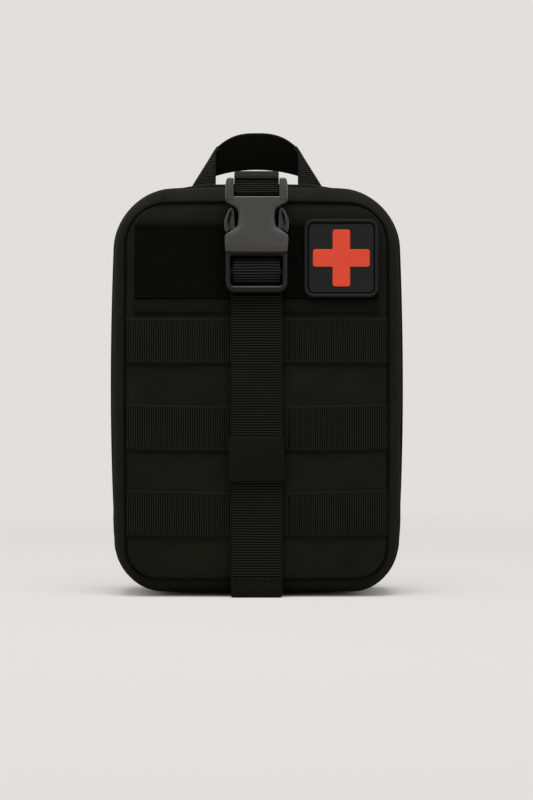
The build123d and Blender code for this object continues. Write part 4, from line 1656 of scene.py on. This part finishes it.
# --------------------------------------------------------------------------- the handle
@dataclass
class Handle:
    """Webbing handle whose legs face the front and whose middle leans over."""

    thick: float = 1.7 * MM
    flare: float = 1.6 * MM
    fold: float = 24.6 * MM

    def build(self) -> None:
        """Make the handle and the webbing it is sewn to."""
        box, base = Edges.of("handle"), Edges.of("handle_base")
        self.base(base)
        seat_y, top, low = base.mid.y, box.high.z + 3.4 * MM, base.high.z + 1.2 * MM
        span, fold = box.size.x / 2 + self.flare, self.fold
        upper = self.edge(fold, top - 9.6 * MM, top - 0.2 * MM, 2.7, seat_y - 9.5 * MM, -2.2 * MM)
        under = self.edge(fold, low + 4.6 * MM, low + 8.4 * MM, 2.0, seat_y - 3.6 * MM, 0.8 * MM)
        # The arch takes the darker copy of the handle webbing: painted shade.
        strip = self.strip("handle_arch", HANDLE_ARCH_SHADE, upper, under)
        dress(strip, Body.HANDLE, "webbing", "handle")
        for name, side in (("left", -1), ("right", 1)):
            outer, inner = [], []
            for k in range(25):
                t = k / 24
                height = lerp(low - 2.4 * MM, top - 7.8 * MM, t)
                wedge = 2.0 * MM * ease((t - 0.82) / 0.18)
                outer.append(Vector((side * lerp(span, fold - 1.9 * MM, t),
                                     lerp(seat_y + 10.5 * MM, seat_y - 9.6 * MM, t ** 0.8), height)))
                inner.append(Vector((side * (fold - 0.2 * MM - wedge),
                                     lerp(seat_y - 8.4 * MM, seat_y - 11.0 * MM, t),
                                     height - 0.5 * wedge)))
            pair = (outer, inner) if side < 0 else (inner, outer)
            leg = dress(self.strip(f"handle_leg_{name}", HANDLE_WEB, *pair), None, "webbing")
            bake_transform(leg)
        threads = Threads("handle_stitches")
        for share in (0.07, 0.93):
            threads.line([a.lerp(b, share) + Vector((0, -0.9 * MM, 0.2 * MM))
                          for a, b in list(zip(upper, under))[4:-4]])
        threads.build(Body.HANDLE, "webbing")

    @staticmethod
    def edge(half: float, end_z: float, top: float, power: float, y: float,
             lean: float) -> list[Vector]:
        """Lay out one edge of the handle's arch.

        Args:
            half: Half the distance between the folds.
            end_z: Height at the folds.
            top: Height of the middle.
            power: How square the arch is.
            y: Depth at the folds.
            lean: How far its middle lies behind the folds.

        Returns:
            The edge's points from left to right.
        """
        spots: list[Vector] = []
        for k in range(57):
            x = lerp(-half, half, k / 56)
            rise = 1 - abs(x / half) ** power
            spots.append(Vector((x, y + lean * rise, lerp(end_z, top, rise))))
        return spots

    def strip(self, name: str, finish: Finish, upper: Sequence[Vector],
              under: Sequence[Vector]) -> bpy.types.Object:
        """Span a strip of webbing between its two edges."""
        loops: list[list[Point]] = []
        flats: list[list[Flat]] = []
        travelled = 0.0
        for i, (a, b) in enumerate(zip(upper, under)):
            j, k = max(0, i - 1), min(len(upper) - 1, i + 1)
            way = (upper[k] + under[k]) - (upper[j] + under[j])
            out = way.cross(a - b).normalized()
            side, mid = (a - b) / 2, (a + b) / 2
            travelled += ((upper[i] + under[i]) - (upper[j] + under[j])).length / 2 if i else 0.0
            loops.append([tuple(mid + side * s + out * h * self.thick) for s, h in CUT])
            flats.append([(travelled, s * 12.7 * MM) for s, h in CUT])
        return loft(name, finish, loops, flats)

    def base(self, base: Edges) -> None:
        """Make the webbing under the handle, with its box of stitches."""
        z, y = base.mid.z + 0.5 * MM, base.mid.y
        half = base.size.x / 2
        drop = 2.2 * MM
        path = route([((-half - 1 * MM, y, z - drop - 0.6 * MM), 0),
                      ((-half * 0.72, y, z - 0.3 * MM), 20 * MM), ((0, y, z + 0.3 * MM), 20 * MM),
                      ((half * 0.72, y, z - 0.3 * MM), 20 * MM),
                      ((half + 1 * MM, y, z - drop - 0.6 * MM), 0)], 1.2 * MM)
        run = ribbon("handle_base_webbing", HANDLE_WEB, path, FRONTWARD, base.size.y / 2, 1.5 * MM)
        dress(run, Body.CASE, "webbing", "handle_base")


# --------------------------------------------------------------------------- the zip
@dataclass
class Zip:
    """Coil zip round the side and top: tapes, teeth, stops, slider and pull."""

    form: Form
    tooth_pitch: float = 1.35 * MM

    def line(self, inset: float) -> list[Flat]:
        """The zip's line, from its left lower end over the top to its right lower end."""
        form = self.form
        spots = replace(form.ring(form.zip_y, inset), per_side=90).spots()
        start = next(i for i in range(len(spots))
                     if spots[i][0] < 0 and spots[i - 1][1] < form.zip_end_z <= spots[i][1])
        turned = spots[start:] + spots[:start]
        return [spot for spot in turned if spot[1] >= form.zip_end_z - 0.5 * MM]

    def sweep(self, name: str, finish: Finish, section: Sequence[Flat]) -> bpy.types.Object:
        """Sweep a closed section of insets and depths along the zip."""
        lines = [self.line(inset) for inset, _ in section]
        count = min(len(line) for line in lines)
        loops = [[(line[i][0], y, line[i][1]) for line, (_, y) in zip(lines, section)]
                 for i in range(count)]
        flats = [[(i * 2.1 * MM, y) for _, y in section] for i in range(count)]
        return loft(name, finish, loops, flats)

    def build(self) -> None:
        """Make the tapes, the teeth, the stops, the slider and its pull."""
        wall = self.form.wall
        for name, side in (("front", -1), ("rear", 1)):
            coil = Edges.of(f"zip_coil_{name}")
            near = coil.mid.y - side * 0.5 * MM
            far = self.form.zip_y + side * (self.form.valley + 1.4 * MM)
            section = [(wall + 0.1 * MM, near), (wall - 0.55 * MM, near),
                       (wall - 0.35 * MM, lerp(near, far, 0.5)),
                       (wall - 0.2 * MM, far), (wall + 0.5 * MM, far),
                       (wall + 0.35 * MM, lerp(near, far, 0.5))]
            body = Body.COVER if side < 0 else Body.CASE
            dress(self.sweep(f"zip_{name}_tape", TAPE, section if side < 0 else section[::-1]), body,
                  "zip_tape", f"zip_tape_{name}")
            dress(self.teeth(f"zip_{name}_teeth", coil, side), body, "zip_coil", f"zip_coil_{name}")
        self.stops()
        self.slider()

    def teeth(self, name: str, coil: Edges, side: int) -> bpy.types.Object:
        """Make one half of the coil as a row of small rounded turns."""
        skin = Skin()
        line = [Vector((x, 0.0, z)) for x, z in self.line(self.form.wall - 0.85 * MM)]
        marks = milestones(line)
        count = int(marks[-1] / self.tooth_pitch)
        outer, inner = (coil.low.y, coil.high.y + 0.45 * MM) if side < 0 else (coil.high.y,
                                                                               coil.low.y - 0.45 * MM)
        for k in range(count):
            at = (k + (0.5 if side > 0 else 0.0)) * marks[-1] / count
            here = Threads.at(line, marks, at)
            way = (Threads.at(line, marks, at + 0.5 * MM) - Threads.at(line, marks,
                                                                       at - 0.5 * MM)).normalized()
            out = way.cross(Vector((0, -1, 0)))
            out = out if out.dot(here - Vector((0, 0, self.form.body.mid.z))) > 0 else -out
            rows = []
            for t, thick, rise in TOOTH:
                middle = here + out * rise * MM
                middle.y = lerp(outer, inner, t)
                rows.append([tuple(middle + (way * math.cos(a) * 0.42 + out * math.sin(a) * 0.5) * thick * MM)
                             for a in (j * math.pi / 3 for j in range(6))])
            table = skin.grid(rows, [[(0.0, 0.0)] * 6 for _ in rows], wrap=True)
            skin.cap(table)
        return skin.build(name, COIL)

    def stops(self) -> None:
        """Make the two moulded end stops."""
        box = Edges.of("zip_end_stops")
        first, last = self.line(self.form.wall)[0], self.line(self.form.wall)[-1]
        for name, (x, _) in (("left", first), ("right", last)):
            side = 1 if x > 0 else -1
            shape = block(x - 1.2 * MM, x + 1.2 * MM, box.low.z, box.high.z + 0.8 * MM, 0.5 * MM)
            mid = self.form.zip_y
            piece = plate(f"zip_stop_{name}", COIL, shape,
                          [(0.3 * MM, mid + 2.1 * MM), (0.0, mid + 1.7 * MM), (0.0, mid - 1.7 * MM),
                           (0.3 * MM, mid - 2.1 * MM)])
            piece.location.x = side * 0.6 * MM
            dress(piece, Body.CASE, "zip_coil", *(["zip_end_stops"] if side > 0 else []))

    def slider(self) -> None:
        """Make the slider's body, its bridge and the rubber pull."""
        box, pull = Edges.of("zip_slider"), Edges.of("zip_pull")
        turn = Matrix.Rotation(math.pi / 2, 4, "Z")
        mid, z0, z1 = box.mid.y, box.low.z, box.high.z
        half = box.size.y / 2
        shape = rounded([(mid - half * 0.72, z0, 1.2 * MM), (mid - half, lerp(z0, z1, 0.55), 2.5 * MM),
                         (mid - half * 0.9, z1, 1.3 * MM),
                         (mid - half * 0.25, z1 - 0.4 * MM, 0.6 * MM), (mid, z1 - 2.2 * MM, 0.8 * MM),
                         (mid + half * 0.25, z1 - 0.4 * MM, 0.6 * MM),
                         (mid + half * 0.9, z1, 1.3 * MM), (mid + half, lerp(z0, z1, 0.55), 2.5 * MM),
                         (mid + half * 0.72, z0, 1.2 * MM)], 6)
        x0, face = box.low.x + 0.9 * MM, box.high.x - 1.2 * MM
        body = plate("slider_body", METAL, shape,
                     [(0.5 * MM, -x0), (0.1 * MM, -x0 - 0.25 * MM), (0.0, -x0 - 0.5 * MM),
                      (0.0, -face + 0.5 * MM),
                                                   (0.15 * MM, -face + 0.15 * MM), (0.5 * MM, -face)])
        body.data.transform(turn)
        dress(body, Body.SLIDER, "slider_metal", "zip_slider")
        pin_z = pull.high.z - 0.6 * MM
        path = route([((face - 0.3 * MM, mid, pin_z - 2.6 * MM), 0),
                      ((face + 1.0 * MM, mid, pin_z - 2.2 * MM), 1.0 * MM),
                      ((face + 1.2 * MM, mid, pin_z + 1.8 * MM), 1.0 * MM),
                      ((face - 0.3 * MM, mid, pin_z + 2.6 * MM), 0)], 0.35 * MM)
        dress(ribbon("slider_bridge", METAL, path, REARWARD, 1.0 * MM, 0.7 * MM), Body.SLIDER,
              "slider_metal")
        w = pull.size.y / 2
        tab = rounded([(mid - w * 0.62, pin_z + 0.9 * MM, 0.7 * MM),
                       (mid + w * 0.62, pin_z + 0.9 * MM, 0.7 * MM),
                       (mid + w * 0.8, pin_z - 4 * MM, 1.5 * MM),
                       (mid + w, pull.low.z + 3 * MM, 2 * MM), (mid + w * 0.7, pull.low.z, 1.5 * MM),
                       (mid - w * 0.7, pull.low.z, 1.5 * MM), (mid - w, pull.low.z + 3 * MM, 2 * MM),
                       (mid - w * 0.8, pin_z - 4 * MM, 1.5 * MM)], 6)
        x0, x1 = pull.low.x - 0.3 * MM, pull.high.x - 0.5 * MM
        piece = plate("pull_tab", PULL_RUBBER, tab,
                      [(0.4 * MM, -x0), (0.0, -x0 - 0.35 * MM), (0.0, -x1 + 0.4 * MM),
                       (0.12 * MM, -x1 + 0.12 * MM), (0.45 * MM, -x1)])
        piece.data.transform(turn)
        dress(piece, Body.PULL, "pull_rubber", "zip_pull")
        for k in range(5):
            z = pull.low.z + (2.4 + 1.7 * k) * MM
            rib = route([((x1 + 0.05 * MM, mid - w * 0.72, z), 0),
                         ((x1 + 0.05 * MM, mid + w * 0.72, z), 0)], 0.8 * MM)
            dress(ribbon(f"pull_rib_{k + 1}", PULL_RUBBER, rib, UPWARD, 0.4 * MM, 0.5 * MM), Body.PULL,
                  "pull_rubber")


# --------------------------------------------------------------------------- back and inside
def slab_of(name: str, finish: Finish, box: Edges, radius: float,
            rim: float = 0.4 * MM) -> bpy.types.Object:
    """Build a rounded plate that fills a node's box, softly edged on both faces."""
    line = Outline(box.size.x / 2, box.size.z / 2, radius, box.mid.z, per_side=10,
                   per_corner=10).spots()
    line = [(x + box.mid.x, z) for x, z in line]
    y0, y1 = box.low.y, box.high.y
    return plate(name, finish, line,
                 [(rim, y1), (rim * 0.2, y1 - rim * 0.3), (0.0, y1 - rim), (0.0, y0 + rim),
                  (rim * 0.2, y0 + rim * 0.3), (rim, y0)])


@dataclass
class Platform:
    """Rip-away back platform: panel, binding, webbing rows, straps and snaps."""

    pitch: float = 50.8 * MM
    web: float = 25.4 * MM
    lane: float = 38.1 * MM
    half_lane: float = 19.05 * MM
    field_radius: float = 10 * MM
    panel_radius: float = 23 * MM
    seam_inset: float = 7.6 * MM

    def build(self) -> None:
        """Make the fields, the panel and all that is sewn on it."""
        for name, finish, slot, node in (("back_loop_pile", PILE, "loop_pile", "back_loop_field"),
                                         ("platform_hooks", HOOKS, "hook_tape", "platform_hook_field")):
            field_slab = slab_of(name, finish, Edges.of(node), self.field_radius)
            dress(field_slab, Body.CASE, slot, node)
        panel = Edges.of("platform_panel")
        board = slab_of("platform_cloth", CLOTH, panel, self.panel_radius, 0.6 * MM)
        dress(board, Body.CASE, "case_fabric", "platform_panel")
        line = Outline(panel.size.x / 2 + 0.4 * MM, panel.size.z / 2, self.panel_radius, panel.mid.z,
                       per_side=20, per_corner=12).spots()
        edge = frame_ring("platform_binding", BINDING, line, shrink(line, 9 * MM),
                          panel.low.y - 0.1 * MM, panel.high.y + 0.5 * MM, 0.6 * MM)
        dress(edge, Body.CASE, "piping")
        threads = Threads("platform_stitches")
        face = panel.high.y + 0.5 * MM
        ring = shrink(line, self.seam_inset)
        threads.line([(x, face, z) for x, z in ring + ring[:1]], REARWARD)
        self.rows(threads)
        for name, side in (("left", -1), ("right", 1)):
            self.strap(name, side, threads)
        threads.build(Body.CASE, "webbing")

    def rows(self, threads: Threads) -> None:
        """Make the webbing rows on the platform's back."""
        box = Edges.of("platform_rows")
        count = round((box.size.z - self.web) / self.pitch) + 1
        for k in range(count):
            z = box.low.z + self.web / 2 + k * self.pitch
            spots = []
            for i in range(57):
                x = lerp(box.low.x, box.high.x, i / 56)
                lane = abs(((x / self.lane) + 0.5) % 1.0 - 0.5) * self.lane
                lift = 0.75 * MM * ease((self.half_lane - lane) / (5 * MM))
                spots.append(Vector((x, box.high.y - self.web * 0.028 + lift, z)))
            piece = ribbon(f"platform_row_{k + 1}", ROW_WEB, spots, UPWARD, self.web / 2, 1.5 * MM)
            dress(piece, Body.CASE, "webbing", *(["platform_rows"] if k == 0 else []))
            for tack in TACKS:
                for side in (-0.5 * MM, 0.5 * MM):
                    threads.line([(tack + side, box.high.y + 0.1 * MM, z + lerp(-11, 11, i / 5) * MM)
                                  for i in range(6)], REARWARD)

    def strap(self, name: str, side: int, threads: Threads) -> None:
        """Make one attachment strap, woven over and under the rows, with its snap."""
        box, caps = Edges.of(f"molle_strap_{name}"), Edges.of("snap_caps")
        x, y = box.mid.x, box.mid.y
        spots = []
        for i in range(140):
            z = lerp(box.low.z, box.high.z, i / 139)
            wave = 0.35 * MM * math.sin((z - box.low.z) / self.pitch * 2 * math.pi)
            spots.append(Vector((x, y + wave, z)))
        run = ribbon(f"molle_webbing_{name}", STRAP_WEB, spots, LEFTWARD, box.size.x / 2, 1.5 * MM)
        dress(run, Body.CASE, "webbing", f"molle_strap_{name}")
        for z in (box.low.z + 26 * MM, box.low.z + 27.2 * MM, box.high.z - 6 * MM,
                  box.high.z - 4.8 * MM):
            threads.line([(x + lerp(-11, 11, k / 6) * MM, y + 0.85 * MM, z) for k in range(7)],
                         REARWARD)
        radius = caps.size.z / 2
        base = caps.low.y - 0.5 * MM
        loops = []
        for r, lift in SNAP:
            loops.append([(x + radius * r * math.cos(a), base + lift * MM,
                           caps.mid.z + radius * r * math.sin(a))
                          for a in (2 * math.pi * k / 36 for k in range(36))])
        cap = loft(f"snap_cap_{name}", METAL, loops, flip=True)
        dress(cap, Body.CASE, "snap_metal", *(["snap_caps"] if side < 0 else []))


@dataclass
class Interior:
    """Linings, mesh pockets and elastic loops behind the zip."""

    loop_w: float = 26 * MM
    loop_h: float = 38 * MM
    loop_step: float = 46 * MM
    loop_points: int = 14

    def build(self) -> None:
        """Make the linings, both pockets, their bindings and the loops."""
        dress(slab_of("cover_lining_cloth", LINING, Edges.of("cover_lining"), 16 * MM), Body.COVER,
              "lining", "cover_lining")
        dress(slab_of("organiser_cloth", LINING, Edges.of("organiser_panel"), 30 * MM), Body.CASE,
              "lining", "organiser_panel")
        self.pocket("mesh_pocket", Body.CASE, -1)
        self.pocket("cover_pocket", Body.COVER, 1)
        self.loops()

    def pocket(self, node: str, body: Body, way: int) -> None:
        """Make one mesh pocket that stands off its lining, with its bound mouth.

        Args:
            node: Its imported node.
            body: The body it rides on.
            way: -1 when it faces the front and +1 when it faces the back.
        """
        box, bind = Edges.of(node), Edges.of(f"{node}_binding")
        wall = box.high.y if way < 0 else box.low.y
        depth = box.size.y

        def swell(x: float, z: float) -> float:
            """Depth of the pocket's cloth at a place."""
            side = ease((box.high.x - abs(x)) / (10 * MM))
            foot = ease((z - box.low.z) / (10 * MM))
            crease = 0.35 * MM * noise.noise(Vector((x / 0.018, 0.3, z / 0.03)))
            return wall + way * (0.5 * MM + (depth - 0.9 * MM + crease) * side * foot)

        faces = ((lambda x, z: swell(x, z) - 0.3 * MM), (lambda x, z: swell(x, z) + 0.3 * MM))
        knit = quilt(f"{node}_knit", KNIT, box, faces[0], faces[1], 2.5 * MM)
        dress(knit, body, "mesh", node)
        band = quilt(f"{node}_band", ELASTIC, bind, lambda x, z: swell(x, z) - 0.75 * MM, lambda x,
                     z: swell(x, z) + 0.75 * MM, 2 * MM)
        dress(band, body, "elastic", f"{node}_binding")

    def loops(self) -> None:
        """Make the rows of elastic loops, tacked between."""
        box = Edges.of("elastic_loops")
        count = round(box.size.x / self.loop_w)
        threads = Threads("loop_stitches")
        for row in range(2):
            z = box.low.z + self.loop_h / 2 + row * self.loop_step
            spots = []
            for i in range(count * self.loop_points + 1):
                share = i / self.loop_points
                near = abs(math.sin(math.pi * share)) ** 0.55
                spots.append(Vector((box.low.x + share * self.loop_w,
                                     box.high.y - 0.5 * MM - (box.size.y - 1.0 * MM) * near, z)))
            band = ribbon(f"elastic_loop_band_{row + 1}", ELASTIC, spots, DOWNWARD, self.loop_h / 2,
                          1.0 * MM)
            dress(band, Body.CASE, "elastic", *(["elastic_loops"] if row == 0 else []))
            for k in range(count + 1):
                x = min(max(box.low.x + k * self.loop_w, box.low.x + 0.8 * MM), box.high.x - 0.8 * MM)
                threads.line([(x, box.high.y - 1.25 * MM, z + lerp(-18, 18, i / 8) * MM)
                              for i in range(9)])
        threads.build(Body.CASE, "elastic")


# --------------------------------------------------------------------------- the studio
# Name, place, side length and watts of each softbox.
LAMPS = (
    ("top_softbox", (0.0, -0.45, 1.35), 0.9, 26.0),
    ("front_left", (-1.1, -1.3, 0.7), 0.9, 3.5),
    ("front_right", (1.2, -1.2, 0.6), 0.9, 3.5),
    ("rear_left", (-0.8, 1.1, 0.9), 0.9, 5.0),
    ("side_left", (-1.2, 0.15, 0.35), 0.5, 3.0),
    ("side_right", (1.2, 0.15, 0.35), 0.5, 3.0),
)


@dataclass
class Studio:
    """Pale seamless floor, soft lights and a level camera."""

    pale: Point = (0.768, 0.737, 0.716)
    paper: float = 0.71
    air: float = 0.22
    half_floor: float = 4.0
    wall_y: float = 1.2
    cove: float = 0.8
    contact: float = 45 * MM
    aim: Point = (0.0, 0.0, 0.12)
    distance: float = 1.5
    sensor: float = 36.0
    view_height: float = 0.45193245779
    eye_x: float = 0.0056491557
    eye_z: float = 0.1124

    def build(self) -> None:
        """Make the floor, the world, the lamps and the camera."""
        self.floor()
        self.world()
        for name, place, size, watts in LAMPS:
            self.lamp(name, place, size, watts)
        self.camera(CAD_BOUNDS[0][1])

    def floor(self) -> None:
        """Make the floor with a cove behind, paler to the eye than to the light."""
        sheet = Sheet("studio_paper")
        ray = sheet.add("ShaderNodeLightPath", output="Is Camera Ray")
        gloss = sheet.add("ShaderNodeLightPath", output="Is Glossy Ray")
        x, y, _ = sheet.axes()
        far = ((x * x + y * y) ** 0.5).ramp(0.5, 1.2)
        open_sky = sheet.add("ShaderNodeAmbientOcclusion", {"samples": 8}, {"Distance": self.contact},
                             output="AO")
        seen = ray.at_least(gloss) * (far * 0.2 + 0.8) * open_sky
        paper = sheet.add("ShaderNodeBsdfDiffuse", None,
                          {"Color": tuple(c * self.paper for c in self.pale)})
        glow = sheet.add("ShaderNodeEmission", None, {"Color": self.pale, "Strength": 1.0})
        sheet.add_output(sheet.add("ShaderNodeMixShader", None, {0: seen, 1: paper, 2: glow}))
        skin = Skin()
        half, bend = self.half_floor, self.cove
        profile = [(-half, 0.0), (self.wall_y, 0.0)]
        profile += [(self.wall_y + bend * math.sin(a), bend - bend * math.cos(a))
                    for a in (math.pi / 2 * k / 12 for k in range(1, 13))]
        profile.append((self.wall_y + bend, half))
        rows = [[(-half, y, z), (half, y, z)] for y, z in profile]
        skin.grid(rows, [[(0.0, 0.0), (1.0, 0.0)] for _ in rows])
        mesh = bpy.data.meshes.new("studio_floor")
        mesh.from_pydata(skin.points, [], skin.faces)
        mesh.materials.append(sheet.material)
        mesh.polygons.foreach_set("use_smooth", [True] * len(mesh.polygons))
        link("studio_floor", mesh)

    def world(self) -> None:
        """Give an even pale surrounding."""
        world = bpy.data.worlds.new("studio_air")
        bpy.context.scene.world = world
        world.use_nodes = True
        tree = world.node_tree
        ground = tree.nodes["Background"]
        ground.inputs["Color"].default_value = (*self.pale, 1.0)
        path = tree.nodes.new("ShaderNodeLightPath")
        plain = tree.nodes.new("ShaderNodeMix")
        plain.inputs["A"].default_value = self.air
        plain.inputs["B"].default_value = 1.0
        tree.links.new(path.outputs["Is Camera Ray"], plain.inputs["Factor"])
        tree.links.new(plain.outputs["Result"], ground.inputs["Strength"])

    def lamp(self, name: str, place: Point, size: float, watts: float) -> None:
        """Add one square softbox aimed at the pouch.

        Args:
            name: The lamp's name.
            place: Where it stands.
            size: Its side length.
            watts: Its power.
        """
        data = bpy.data.lights.new(name, "AREA")
        data.shape = "SQUARE"
        data.size = size
        data.energy = watts
        thing = link(name, data)
        thing.visible_camera = False
        thing.location = place
        thing.rotation_euler = (Vector(self.aim) - Vector(place)).to_track_quat("-Z", "Y").to_euler()

    def camera(self, front: float) -> None:
        """Stand the camera level in front of the pouch, a little to its right.

        Args:
            front: Depth of the pouch's front.
        """
        data = bpy.data.cameras.new("camera")
        data.sensor_fit = "VERTICAL"
        data.sensor_height = self.sensor
        data.lens = self.sensor * self.distance / self.view_height
        data.clip_end = 20.0
        thing = link("camera", data)
        thing.location = (self.eye_x, front - self.distance, self.eye_z)
        thing.rotation_euler = (math.pi / 2, 0.0, 0.0)
        bpy.context.scene.camera = thing
        bpy.context.scene.view_settings.view_transform = "Standard"


def main() -> None:
    """Build every sub-assembly in order."""
    logging.basicConfig(level=logging.INFO, format="%(message)s")
    form = Form.read()
    Studio().build()
    CaseShell(form).build()
    FrontFace(form).build()
    Patch().build()
    OverStrap().build()
    Buckle().build()
    Handle().build()
    Zip(form).build()
    Platform().build()
    Interior().build()


if __name__ == "__main__":
    main()
